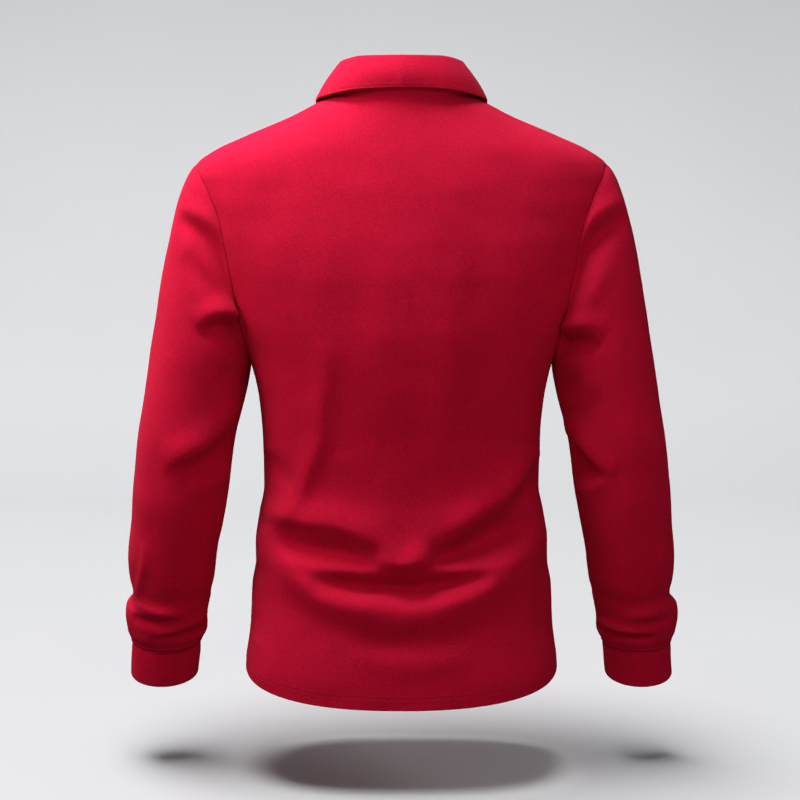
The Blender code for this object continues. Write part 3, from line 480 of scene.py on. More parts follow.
def body_across(depth, height, side):
    """x of the body form at a depth and a height."""
    corner = body_corner(height)
    used = np.clip(np.abs(depth) / body_reach(height, side), 0.0, 1.0) ** corner
    return body_half_width(height) * (1.0 - used) ** (1.0 / corner)


def unit(vectors):
    """The same vectors, one metre long."""
    lengths = np.linalg.norm(vectors, axis=-1, keepdims=True)
    return vectors / np.maximum(lengths, 1e-12)


def smooth(share):
    """0 to 1 with level ends."""
    share = np.clip(share, 0.0, 1.0)
    return share * share * (3 - 2 * share)


def shares(count, start=True, end=True):
    """count + 1 numbers from 0 to 1, closer together at the ends that are named."""
    t = np.linspace(0.0, 1.0, count + 1)
    if start and end:
        return t - EDGE_CLOSER * np.sin(2 * math.pi * t) / (2 * math.pi)
    if start:
        return t - EDGE_CLOSER * np.sin(math.pi * t) / math.pi
    return t + EDGE_CLOSER * np.sin(math.pi * t) / math.pi if end else t


def along(points):
    """Distance along a line of points, from its first."""
    return np.concatenate([[0.0], np.cumsum(np.linalg.norm(np.diff(points, axis=0), axis=1))])


def read_vectors(place, places, vectors):
    """Vectors read at one place or more, between the places where they are given."""
    return np.stack([np.interp(place, places, vectors[:, k]) for k in range(3)], axis=-1)


def at_distances(points, distances):
    """Points of a line at the given distances along it."""
    return read_vectors(distances, along(points), points)


def armhole_half(side):
    """One half of the armhole on the left, from the underarm up to the shoulder tip."""
    middle = (SHOULDER_TIP + UNDERARM) / 2
    half_height = (SHOULDER_TIP - UNDERARM) / 2
    turn = np.linspace(math.pi, 0.0, FINE)
    depth = (ARMHOLE_BACK if side > 0 else ARMHOLE_FRONT) * np.sin(turn)
    height = middle + half_height * np.cos(turn)
    flat = np.stack([np.zeros(FINE), depth, height], axis=1)
    even = at_distances(flat, np.linspace(0.0, along(flat)[-1], ARMHOLE_ROWS + 1))
    across = body_across(even[:, 1], even[:, 2], side)
    return np.stack([across, side * even[:, 1], even[:, 2]], axis=1)


def side_ends(side):
    """Where each row of a panel ends on the left, from the hem up, and the rows' middle heights."""
    hem = BACK_HEM if side > 0 else FRONT_HEM
    skirt = SIDE_HEM + (UNDERARM - SIDE_HEM) * shares(SKIRT_ROWS, end=False)
    seam = np.stack([body_half_width(skirt), np.zeros(len(skirt)), skirt], axis=1)
    seam_middles = hem + (skirt - SIDE_HEM) * (UNDERARM_CENTRE - hem) / (UNDERARM - SIDE_HEM)

    armhole = armhole_half(side)[1:]
    at_tip = BACK_AT_TIP if side > 0 else FRONT_AT_TIP
    armhole_middles = np.linspace(UNDERARM_CENTRE, at_tip, ARMHOLE_ROWS + 1)[1:]

    climb = shares(SHOULDER_ROWS, start=False)[1:]
    ridge = SHOULDER_TIP * (1 - climb)
    shoulder = np.stack([body_half_width(ridge), np.zeros(len(ridge)), ridge], axis=1)
    neck = NECK_BACK if side > 0 else NECK_FRONT
    shoulder_middles = at_tip + (neck - at_tip) * climb

    ends = np.concatenate([seam, armhole, shoulder])
    middles = np.concatenate([seam_middles, armhole_middles, shoulder_middles])
    return ends, middles


def panel(side):
    """Grid of points of the front or back: rows from the hem up, columns from -X to +X."""
    ends, middles = side_ends(side)
    top = len(ends) - 1
    tip = top - SHOULDER_ROWS
    scoops = np.interp(range(top + 1), (0, tip - ARMHOLE_ROWS, tip, top),
                       (HEM_SCOOP, TIP_SCOOP, TIP_SCOOP, NECK_SCOOP))
    turn = np.linspace(0.0, math.pi / 2, FINE)
    rows = []
    for end, middle, scoop in zip(ends, middles, scoops):
        across = end[0] * np.sin(turn)
        height = middle + (end[2] - middle) * (1.0 - np.cos(turn) ** scoop)
        half = np.stack([across, body_depth(across, height, side), height], axis=1)
        half[-1] = end
        length = along(half)[-1]
        centre = np.linspace(0.0, PLACKET_HALF, PLACKET_HALF_COLUMNS + 1)[:-1]
        beyond = shares(BODY_HALF_COLUMNS - PLACKET_HALF_COLUMNS, start=False)
        places = np.concatenate([centre, PLACKET_HALF + (length - PLACKET_HALF) * beyond])
        half = at_distances(half, places)
        mirrored = half[:0:-1] * (-1.0, 1.0, 1.0)
        rows.append(np.concatenate([mirrored, half]))
    return np.array(rows)


def cell_normals(grid):
    """Normal of each cell of a grid, as long as the cell is large."""
    rising = grid[1:, 1:] - grid[:-1, :-1]
    falling = grid[:-1, 1:] - grid[1:, :-1]
    return np.cross(rising, falling)


def point_normals(grid, facing, ring=False):
    """Unit normal at each point of a grid; facing, 1 or -1, makes them point out of the shirt."""
    cells = facing * unit(cell_normals(grid))
    total = np.zeros_like(grid)
    for di in (0, 1):
        for dj in (0, 1):
            total[di:di + cells.shape[0], dj:dj + cells.shape[1]] += cells
    if ring:
        seam = total[:, 0] + total[:, -1]
        total[:, 0] = total[:, -1] = seam
    return unit(total)


def waves(points, length):
    """A smooth uneven field of about -1 to 1 whose waves are about the given length."""
    total = np.zeros(points.shape[:-1])
    for _ in range(WAVES):
        way = unit(random.normal(size=points.shape[-1]))
        pace = 2 * math.pi / length * random.uniform(*WAVE_PACES)
        total += np.sin(points @ way * pace + random.uniform(0, 2 * math.pi))
    return total / math.sqrt(WAVES)


def fold_path(fold):
    """Points along a fold's bent line, which passes through its middle."""
    control = 2.0 * fold.middle - (fold.start + fold.end) / 2.0
    t = np.linspace(0.0, 1.0, FOLD_POINTS)[:, None]
    return fold.start * (1 - t) ** 2 + control * 2 * t * (1 - t) + fold.end * t ** 2


def relief(points, normals, folds):
    """How far the folds lift each point off the plain form."""
    flat = points[..., (0, 2)].reshape(-1, 2)
    turned = normals[..., 1].reshape(-1)
    stray, length = FOLD_WANDER
    strayed = flat + stray * np.stack([waves(flat, length), waves(flat, length)], axis=1)
    change, length = FOLD_CHANGE
    uneven = 1.0 + change * waves(flat, length)
    total = np.zeros(len(flat))
    for fold in folds:
        path = fold_path(fold)
        reach = FOLD_REACH * max(fold.upper, fold.lower)
        near = (strayed > path.min(axis=0) - reach) & (strayed < path.max(axis=0) + reach)
        rows = np.nonzero(near.all(axis=1) & (fold.side * turned > 0))[0]
        spans = np.diff(path, axis=0)
        to_point = strayed[rows, None, :] - path[None, :-1, :]
        share = np.clip((to_point * spans).sum(-1) / (spans * spans).sum(-1), 0.0, 1.0)
        offset = to_point - share[..., None] * spans
        nearest = np.linalg.norm(offset, axis=-1).argmin(axis=1)
        picked = np.arange(len(rows))
        offset = offset[picked, nearest]
        chord = path[-1] - path[0]
        up = np.array([-chord[1], chord[0]])
        up *= np.sign(up[1] + LEFT_IS_UP * up[0])
        flank = np.stack([-spans[:, 1], spans[:, 0]], axis=1)
        flank *= np.sign(flank @ up)[:, None]
        above = (offset * flank[nearest]).sum(-1) > 0
        width = np.where(above, fold.upper, fold.lower)
        travelled = (nearest + share[picked, nearest]) / len(spans)
        taper = np.clip(np.sin(math.pi * travelled), 0.0, 1.0) ** FOLD_TAPER
        facing = smooth(fold.side * turned[rows] / FOLD_TURN)
        bump = np.exp(-(offset * offset).sum(-1) / width ** 2)
        total[rows] += fold.height * uneven[rows] * bump * taper * facing
    return total.reshape(points.shape[:-1])


def edge_distances(grid):
    """Distance of each point from its grid's first and last row and its first and last column."""
    down = np.linalg.norm(np.diff(grid, axis=0), axis=2)
    across = np.linalg.norm(np.diff(grid, axis=1), axis=2)
    from_first = np.concatenate([np.zeros((1, grid.shape[1])), np.cumsum(down, axis=0)])
    from_left = np.concatenate([np.zeros((grid.shape[0], 1)), np.cumsum(across, axis=1)], axis=1)
    return from_first, from_first[-1] - from_first, from_left, from_left[:, -1:] - from_left


def worn(grid, facing, folds, open_rows, ring=False, fade=FOLD_FADE, lip=0.0):
    """The grid with its folds and unevenness, drawn in at its seams.

    open_rows holds "first" or "last" where that row is an open edge and not a seam."""
    normals = point_normals(grid, facing, ring)
    first, last, left, right = edge_distances(grid)
    lift = relief(grid, normals, folds)
    for length, height in UNEVEN:
        lift += height * waves(grid, length)
    ends = {"first": first, "last": last}
    seams = [gap for row, gap in ends.items() if row not in open_rows]
    nearest = np.min(seams if ring else seams + [left, right], axis=0)
    lift *= smooth(nearest / fade)
    for row in open_rows:
        lift *= smooth((ends[row] + OPEN_FADE) / fade)
    lift -= SEAM_SINK * np.exp(-(nearest / SEAM_REACH) ** 2) * smooth(nearest / SEAM_START)
    lift += lip * np.exp(-((last - LIP_PLACE) / (LIP_PLACE / 2)) ** 2) * smooth(last / LIP_PLACE)
    return grid + normals * lift[..., None]


def sleeve_ring(height, angles, side):
    """Points round a sleeve at a height; angle 0 is its outer side and 90 degrees its back."""
    out, back, half_width, half_depth, tilt = (float(read(height)) for read in sleeve_readers)
    tilt = math.radians(tilt)
    x = side * (out + half_width * np.cos(angles))
    y = back + half_depth * np.sin(angles) * math.cos(tilt)
    z = height - half_depth * np.sin(angles) * math.sin(tilt)
    return np.stack([x, y, z], axis=1)


def sleeve(armhole, side):
    """Grid of points of a sleeve: rows from the armhole down, columns round it and closed."""
    angles = np.linspace(0.0, 2 * math.pi, len(armhole))
    top = SLEEVE[0][0]  # height of the first level ring
    first = sleeve_ring(top, angles, side)
    down = unit(sleeve_ring(top - ARM_STEP, angles, side) - first)
    chord = np.linalg.norm(first - armhole, axis=1, keepdims=True)
    over = (1 + np.cos(angles[:, None])) / 2
    cap = np.array(CAP_OVER) * over + np.array(CAP_UNDER) * (1 - over)
    leave = np.stack([side * cap[:, 0], CAP_BACK * np.sin(angles), cap[:, 1]], axis=1)
    leave = unit(leave) * chord * cap[:, 2:3]
    arrive = down * chord * cap[:, 3:4]
    rows = []
    for t in shares(CAP_ROWS, end=False):
        rows.append(armhole * (1 + 2 * t) * (1 - t) ** 2 + leave * t * (1 - t) ** 2
                    + first * t * t * (3 - 2 * t) - arrive * t * t * (1 - t))
    heights = top + (CUFF_TOP - top) * shares(ARM_ROWS, start=False)[1:]
    rows.extend(sleeve_ring(height, angles, side) for height in heights)
    return np.array(rows)


def cuff(side, columns):
    """Grid of points of a cuff, from its seam down."""
    angles = np.linspace(0.0, 2 * math.pi, columns)
    heights = CUFF_TOP + (CUFF_BOTTOM - CUFF_TOP) * shares(CUFF_ROWS)
    return np.array([sleeve_ring(height, angles, side) for height in heights])


TOP = SKIRT_ROWS + ARMHOLE_ROWS + SHOULDER_ROWS  # a panel's last row
TIP = TOP - SHOULDER_ROWS
LOW = TIP - ARMHOLE_ROWS
ARMHOLE = slice(LOW, TIP + 1)
CENTRE = BODY_HALF_COLUMNS  # a panel's middle column
PLACKET_ROW = LOW + round(ARMHOLE_ROWS * (PLACKET_END - UNDERARM_CENTRE)
                          / (FRONT_AT_TIP - UNDERARM_CENTRE))


def armhole_loop(back, front, side):
    """The armhole's points on the finished panels, from the tip down the back and up the front."""
    column = -1 if side > 0 else 0
    return np.concatenate([back[ARMHOLE, column][::-1], front[ARMHOLE, column][1:]])


def neck_loop(back, front):
    """The neck seam's points from the centre front round by the left shoulder and back again."""
    return np.concatenate([front[-1, CENTRE:], back[-1, ::-1][1:], front[-1, 1:CENTRE + 1]])


def round_the_neck(loop):
    """Share of the way from the middle of the back to the middle of the front, and the side."""
    measured = along(loop)
    half = measured[-1] / 2
    around = np.abs(measured - half) / half
    return around, np.where(measured < half, 1.0, -1.0)


def stand_grid(loop):
    """Grid of points of the collar stand: rows from the neck seam up."""
    around, _ = round_the_neck(loop)
    rise, lean = collar_rise(around)[:, None], collar_lean(around)[:, None]
    inwards = unit(loop * (-1.0, -1.0, 0.0))
    rows = []
    for t in shares(STAND_ROWS, end=False):
        rows.append(loop + np.array([0, 0, 1.0]) * rise * t + inwards * lean * t ** STAND_CURVE)
    grid = np.array(rows)
    grid[:, 0, 0] = COLLAR_END
    grid[:, -1, 0] = -COLLAR_END
    return grid


def leaf_grids(top):
    """Outer and inner points of the collar leaf: over the fold and down to its edge."""
    around, side = round_the_neck(top)
    outwards = unit(top * (1.0, 1.0, 0.0))
    up = np.array([0.0, 0.0, 1.0])
    edge = np.stack([side * edge_out(around), edge_back(around), edge_height(around)], axis=1)
    centre = top + outwards * (COLLAR_GAP / 2) + up * SEAM
    shown, hidden = [], []
    for turn in np.linspace(math.pi, FOLD_END, FOLD_STEPS + 1):
        way = outwards * math.cos(turn) + up * math.sin(turn)
        shown.append(centre + way * (COLLAR_GAP / 2 + CLOTH))
        hidden.append(centre + way * (COLLAR_GAP / 2))
    grid = [shown[-1]]
    for t in shares(LEAF_STEPS, start=False)[1:]:
        bow = outwards * LEAF_BOW * math.sin(math.pi * t)
        grid.append(shown[-1] + (edge - shown[-1]) * t + bow)
    grid = np.array(grid)
    normals = point_normals(grid, 1)
    if (normals[1] * outwards).sum() < 0:
        normals = -normals
    shown.extend(grid[1:])
    hidden.extend((grid - normals * CLOTH)[1:])
    return np.array(shown), np.array(hidden)


# ---- shells

def pull_at_seam(normals, beyond):
    """How far back from a seam the rim of a shell stands, so that two rounded rims just clear.

    beyond points from the seam into the piece on its other side."""
    turn = -0.5 * np.arcsin(np.clip((normals * unit(beyond)).sum(-1), -SHARPEST, SHARPEST))
    half = CLOTH / 2
    clear = (SEAM / 2 + half + half * np.sin(turn)) / np.cos(turn)
    return np.clip(clear - SEAM_CLOSE, *RIM_PULLS)


def boundary_edges(cells, ring):
    """Directed edges of the cells that have no neighbour, as pairs of places, and their cell."""
    rows, columns = cells.shape
    framed = np.zeros((rows + 2, columns + 2), dtype=bool)
    framed[1:-1, 1:-1] = cells
    if ring:
        framed[1:-1, 0] = cells[:, -1]
        framed[1:-1, -1] = cells[:, 0]
    edges = []
    beyond = {(-1, 0): ((0, 0), (0, 1)), (0, 1): ((0, 1), (1, 1)),
              (1, 0): ((1, 1), (1, 0)), (0, -1): ((1, 0), (0, 0))}
    for (di, dj), (a, b) in beyond.items():
        neighbour = framed[1 + di:rows + 1 + di, 1 + dj:columns + 1 + dj]
        for i, j in zip(*np.nonzero(cells & ~neighbour)):
            edges.append(((i + a[0], j + a[1]), (i + b[0], j + b[1]), (i, j)))
    return edges


def shell(name, outer, normals, finish, ring=False, missing=None, pulls=None, inner=None,
          cloth=CLOTH):
    """A closed shell of cloth with rounded rims, inside the surface that the grid gives."""
    rows, columns = outer.shape[:2]
    points = columns - 1 if ring else columns
    cells = np.ones((rows - 1, columns - 1), dtype=bool)
    if missing is not None:
        cells[missing] = False
    outer = outer.copy()
    inner = outer - normals * cloth if inner is None else inner.copy()
    seam_v, _, left, _ = edge_distances(outer)
    seam_u = left - left[:, columns // 2:columns // 2 + 1]
    edges = boundary_edges(cells, ring)
    ways = {}
    for a, b, cell in edges:
        tangent = outer[b] - outer[a]
        through = outer[a] - inner[a]
        out = np.cross(tangent, through)
        centre = (outer[cell] + outer[cell[0] + 1, cell[1] + 1]) / 2
        out = unit(out * np.sign(((outer[a] + outer[b]) / 2 - centre) @ out))
        for place in (a, b):
            ways.setdefault((place[0], place[1] % points), []).append(out)
    outs = {}
    for place, found in ways.items():
        middle = unit(np.sum(found, axis=0))
        outs[place] = middle / max(middle @ found[0], MITRE)
    for place, out in outs.items():
        back = cloth / 2 + SEAM / 2 if pulls is None else pulls[place]
        outer[place] -= out * back
        inner[place] -= out * back
    if ring:
        outer[:, -1] = outer[:, 0]
        inner[:, -1] = inner[:, 0]

    layer = rows * points
    vertices = [outer[:, :points].reshape(-1, 3), inner[:, :points].reshape(-1, 3)]
    rim_number = {}
    rim_points = []
    turns = np.linspace(0.0, math.pi, RIM_STEPS + 1)[1:-1]
    for place, out in outs.items():
        middle = (outer[place] + inner[place]) / 2
        half = (outer[place] - inner[place]) / 2
        reach = np.linalg.norm(half)
        rim_number[place] = 2 * layer + len(rim_points)
        for turn in turns:
            rim_points.append(middle + half * math.cos(turn) + out * reach * math.sin(turn))
    vertices.append(np.array(rim_points))

    i, j = np.nonzero(cells)
    corners = [(i, j), (i, j + 1), (i + 1, j + 1), (i + 1, j)]
    numbers = np.stack([a * points + b % points for a, b in corners], axis=1)
    uvs = np.stack([np.stack([seam_u[c], seam_v[c]], axis=1) for c in corners], axis=1)
    faces = [numbers, numbers[:, ::-1] + layer]
    face_uvs = [uvs, uvs[:, ::-1]]
    rim_faces, rim_uvs = [], []
    for a, b, _ in edges:
        strips, ends = [], []
        for place in (b, a):
            key = (place[0], place[1] % points)
            flat, start = key[0] * points + key[1], rim_number[key]
            strips.append([flat, *range(start, start + len(turns)), flat + layer])
            ends.append((seam_u[place], seam_v[place]))
        for k in range(RIM_STEPS):
            rim_faces.append([strips[0][k], strips[1][k], strips[1][k + 1], strips[0][k + 1]])
            rim_uvs.append([ends[0], ends[1], ends[1], ends[0]])
    faces.append(np.array(rim_faces))
    face_uvs.append(np.array(rim_uvs))
    return quads(name, np.concatenate(vertices), np.concatenate(faces), np.concatenate(face_uvs),
                 finish)


def placed(name, mesh, finish):
    """A smooth object of a mesh, in the scene."""
    mesh.shade_smooth()
    mesh.materials.append(finish)
    made = bpy.data.objects.new(name, mesh)
    bpy.context.scene.collection.objects.link(made)
    return made


def quads(name, vertices, faces, uvs, finish):
    """A smooth mesh object of four-cornered faces, turned outwards."""
    used, faces = np.unique(faces, return_inverse=True)
    faces = faces.reshape(-1, 4)
    vertices = vertices[used]
    a, b, c, d = (vertices[faces[:, k]] for k in range(4))
    if (np.cross(a, b) * c + np.cross(a, c) * d).sum() < 0:
        faces = faces[:, ::-1]
        uvs = uvs[:, ::-1]
    mesh = bpy.data.meshes.new(name)
    mesh.vertices.add(len(vertices))
    mesh.vertices.foreach_set("co", vertices.astype(np.float32).ravel())
    mesh.loops.add(faces.size)
    mesh.loops.foreach_set("vertex_index", faces.astype(np.int32).ravel())
    mesh.polygons.add(len(faces))
    mesh.polygons.foreach_set("loop_start", np.arange(0, faces.size, 4, dtype=np.int32))
    layer = mesh.uv_layers.new(name="UVMap")
    layer.uv.foreach_set("vector", uvs.astype(np.float32).ravel())
    mesh.update(calc_edges=True)
    mesh.validate()
    return placed(name, mesh, finish)


# ---- finishes

class Nodes:
    """Short calls for building a material's nodes."""

    def __init__(self, name):
        self.material = bpy.data.materials.new(name)
        self.material.use_nodes = True
        self.tree = self.material.node_tree
        self.shader = self.tree.nodes["Principled BSDF"]

    def feed(self, node, inputs):
        """Join each output to the input that is named, or set the input to a value."""
        for name, value in inputs.items():
            if isinstance(value, bpy.types.NodeSocket):
                self.tree.links.new(value, node.inputs[name])
            else:
                node.inputs[name].default_value = value

    def add(self, kind, inputs, **settings):
        node = self.tree.nodes.new("ShaderNode" + kind)
        for key, value in settings.items():
            setattr(node, key, value)
        self.feed(node, inputs)
        return node

    def math(self, operation, *values):
        return self.add("Math", dict(enumerate(values)), operation=operation).outputs[0]

    def total(self, *terms, plus=None):
        """The sum of outputs, each times its weight, and of a value."""
        total = plus
        for value, weight in terms:
            term = self.math("MULTIPLY", value, weight)
            total = term if total is None else self.math("ADD", total, term)
        return total

    def noise(self, scale, detail, roughness):
        """Noise through the object."""
        place = self.add("TexCoord", {}).outputs["Object"]
        return self.add("TexNoise", {"Vector": place, "Scale": scale, "Detail": detail,
                                     "Roughness": roughness}).outputs["Fac"]

    def ramp(self, share, *stops):
        """A colour that changes with a share between two stops, each a share and its colour."""
        node = self.add("ValToRGB", {"Fac": share})
        for element, stop in zip(node.color_ramp.elements, stops):
            element.position, element.color = stop
        return node.outputs["Color"]

    def tones(self, share, reach, colour, dark, bright):
        """A colour that changes with a share from a darker to a brighter tone of itself."""
        low, high = (tuple(min(1.0, tone * part) for part in colour[:3]) + (1.0,)
                     for tone in (dark, bright))
        return self.ramp(share, (0.5 - reach, low), (0.5 + reach, high))

    def bump(self, height, strength, distance):
        """Relief of a height on the shader, with its distance in metres."""
        node = self.add("Bump", {"Strength": strength, "Distance": distance, "Height": height})
        self.feed(self.shader, {"Normal": node.outputs["Normal"]})

    def finish(self, inputs):
        """The material, once the shader has its inputs."""
        self.feed(self.shader, inputs)
        return self.material


def cloth_finish(name, colour, stitch, ribbed):
    """Knitted cotton: a small stitch pattern, fine fibres, a soft sheen and uneven dye."""
    nodes = Nodes(name)
    uv = nodes.add("UVMap", {}, uv_map="UVMap").outputs["UV"]
    split = nodes.add("SeparateXYZ", {"Vector": uv}).outputs
    across, up = (nodes.math("SINE", nodes.math("MULTIPLY", split[axis], math.pi / size))
                  for axis, size in zip("XY", stitch))
    if ribbed:
        pattern = nodes.total((nodes.math("ABSOLUTE", across), 1.0),
                              (nodes.math("ABSOLUTE", up), RIB_ROWS))
    else:
        pattern = nodes.math("ABSOLUTE", nodes.math("MULTIPLY", across, up))
    fibres, yarn, dye = (nodes.noise(*noise) for noise in (FIBRES, YARN, DYE))
    nodes.bump(nodes.total((pattern, 0.55), (fibres, 0.9), (yarn, 1.2)), 0.7, KNIT_DEPTH)
    return nodes.finish({
        "Base Color": nodes.tones(nodes.total((dye, 0.3), (yarn, 0.7)), 0.20, colour, 0.80, 1.20),
        "Roughness": nodes.total((fibres, 0.16), plus=0.70),
        "Specular IOR Level": 0.0,
        "Sheen Weight": 0.03, "Sheen Roughness": 0.5, "Sheen Tint": SHEEN})


def thread_finish():
    """Twisted polyester thread, dyed to match the cloth."""
    nodes = Nodes("thread")
    twist = nodes.noise(*TWIST)
    nodes.bump(twist, 0.4, TWIST_DEPTH)
    return nodes.finish({"Base Color": nodes.tones(twist, 0.15, THREAD_RED, 0.75, 1.0),
                         "Roughness": 0.6, "Specular IOR Level": 0.12})


def plastic_finish():
    """Dyed polyester buttons with a faint cloud in the colour."""
    nodes = Nodes("button_plastic_fine")
    cloud, scratches = nodes.noise(*CLOUD), nodes.noise(*SCRATCHES)
    return nodes.finish({"Base Color": nodes.tones(cloud, 0.2, BUTTON_RED, 0.8, 1.35),
                         "Roughness": nodes.total((scratches, 0.12), plus=0.34),
                         "Specular IOR Level": 0.22})


# ---- sewing

def rings_round(centres, first, second, radius, sides):
    """A ring of points round each centre, from one way across it towards the other."""
    turns = 2 * math.pi * np.arange(sides) / sides
    return np.stack([centres + radius * (first * math.cos(turn) + second * math.sin(turn))
                     for turn in turns], axis=1)


def round_path(path, radius, sides=THREAD_SIDES):
    """Rings of points round a path of points."""
    path = np.array(path)
    ways = unit(np.gradient(path, axis=0))
    beside = unit(np.cross(ways, THREAD_GUIDE))
    return rings_round(path, beside, np.cross(beside, ways), radius, sides)


def tubes(name, threads, finish):
    """One mesh of threads closed at both ends, each given as its rings of points."""
    vertices, faces = [], []
    for rings in threads:
        start, sides = len(vertices), rings.shape[1]
        vertices.extend(rings.reshape(-1, 3).tolist())
        for low in range(start, len(vertices) - sides, sides):
            for k in range(sides):
                after = (k + 1) % sides
                faces.append((low + k, low + after, low + sides + after, low + sides + k))
        faces.append(tuple(range(start + sides - 1, start - 1, -1)))
        faces.append(tuple(range(len(vertices) - sides, len(vertices))))
    mesh = bpy.data.meshes.new(name)
    mesh.from_pydata(vertices, [], faces)
    return placed(name, mesh, finish)


def stitches(name, lines, finish, length=STITCH_LENGTH, pitch=STITCH_PITCH):
    """One mesh of short threads that dip into the cloth at both ends, along lines of points.

    Each line is its points and the way out of the cloth at them."""
    middles, tangents, outs = [], [], []
    for points, normals in lines:
        measured = along(points)
        count = max(1, int(measured[-1] / pitch))
        places = (np.arange(count) + 0.5) * measured[-1] / count
        ahead = at_distances(points, np.minimum(places + length / 2, measured[-1]))
        behind = at_distances(points, np.maximum(places - length / 2, 0.0))
        middles.append(at_distances(points, places))
        tangents.append(unit(ahead - behind))
        outs.append(unit(read_vectors(places, measured, normals)))
    middle, tangent, out = (np.concatenate(each) for each in (middles, tangents, outs))
    beside = unit(np.cross(tangent, out))
    out = np.cross(beside, tangent)
    rings = [rings_round(middle + tangent * share * length + out * rise * THREAD, out, beside,
                         THREAD * size, STITCH_SIDES)
             for share, rise, size in STITCH_PROFILE]
    return tubes(name, np.stack(rings, axis=1), finish)


def button(name, base, way, finish):
    """A turned four-hole button with a rounded rim, lying on the placket at base."""
    mesh = bpy.data.meshes.new(name + "_turned")
    points = [(share * BUTTON_RADIUS, 0.0, height * BUTTON_HEIGHT)
              for share, height in BUTTON_PROFILE]
    mesh.from_pydata(points, [(k, k + 1) for k in range(len(points) - 1)], [])
    made = placed(name + "_fine", mesh, finish)
    turn = made.modifiers.new("turn", "SCREW")
    turn.steps = turn.render_steps = BUTTON_STEPS
    turn.use_merge_vertices = True
    turn.merge_threshold = BUTTON_WELD
    cutters = []
    for x in (-BUTTON_HOLE_PLACE, BUTTON_HOLE_PLACE):
        for y in (-BUTTON_HOLE_PLACE, BUTTON_HOLE_PLACE):
            path = [(x, y, share * BUTTON_HEIGHT) for share in (-1, 0.5, 2)]
            cutters.append(tubes("cutter", [round_path(path, BUTTON_HOLE, HOLE_SIDES)], finish))
            cut = made.modifiers.new("hole", "BOOLEAN")
            cut.operation = "DIFFERENCE"
            cut.object = cutters[-1]
    bpy.context.view_layer.update()
    shape = bpy.data.meshes.new_from_object(
        made.evaluated_get(bpy.context.evaluated_depsgraph_get()))
    made.modifiers.clear()
    made.data = shape
    for cutter in cutters:
        bpy.data.objects.remove(cutter, do_unlink=True)
    shape.materials.clear()
    shape.materials.append(finish)
    for polygon in shape.polygons:
        polygon.material_index = 0
    shape.shade_smooth()
    shape.set_sharp_from_angle(angle=math.radians(SHARP_EDGE))
    made.matrix_world = Matrix.Translation(Vector(base)) @ Vector(
        (0.0, 0.0, 1.0)).rotation_difference(Vector(way)).to_matrix().to_4x4()
    return made


def button_sewing(frame_of):
    """Paths of the two doubled threads that hold a button, down through its holes."""
    face = BUTTON_FACE * BUTTON_HEIGHT
    paths = []
    for y in (-BUTTON_HOLE_PLACE, BUTTON_HOLE_PLACE):
        for beside in (-THREADS_APART, THREADS_APART):
            paths.append([tuple(frame_of @ Vector((x * BUTTON_HOLE_PLACE,
                                                   y + beside * BUTTON_THREAD, z * face)))
                          for x, z in BUTTON_STITCH])
    return paths


def seam_line(piece, distance, which, from_end=False, columns=False):
    """Points at a distance from the end of some rows or columns of a piece, and the way out."""
    points, outs = [], []
    for i in which:
        at = (slice(None), i) if columns else i
        line, ways = piece.grid[at], piece.normals[at]
        if from_end:
            line, ways = line[::-1], ways[::-1]
        measured = along(line)
        points.append(read_vectors(distance, measured, line))
        outs.append(read_vectors(distance, measured, ways))
    return np.array(points), unit(np.array(outs))


# ---- studio

def aimed(name, data, place, target):
    """A light or camera in the scene, turned towards a place."""
    made = bpy.data.objects.new(name, data)
    made.location = place
    made.rotation_euler = (Vector(target) - Vector(place)).to_track_quat("-Z", "Y").to_euler()
    bpy.context.scene.collection.objects.link(made)
    return made


def area(name, place, target, size, energy, colour, lit):
    """A soft round light that lights one collection."""
    light = bpy.data.lights.new(name, "AREA")
    light.shape = "DISK"
    light.size, light.energy, light.color = size, energy, colour
    lamp = aimed(name, light, place, target)
    lamp.light_linking.receiver_collection = lit
    return lamp


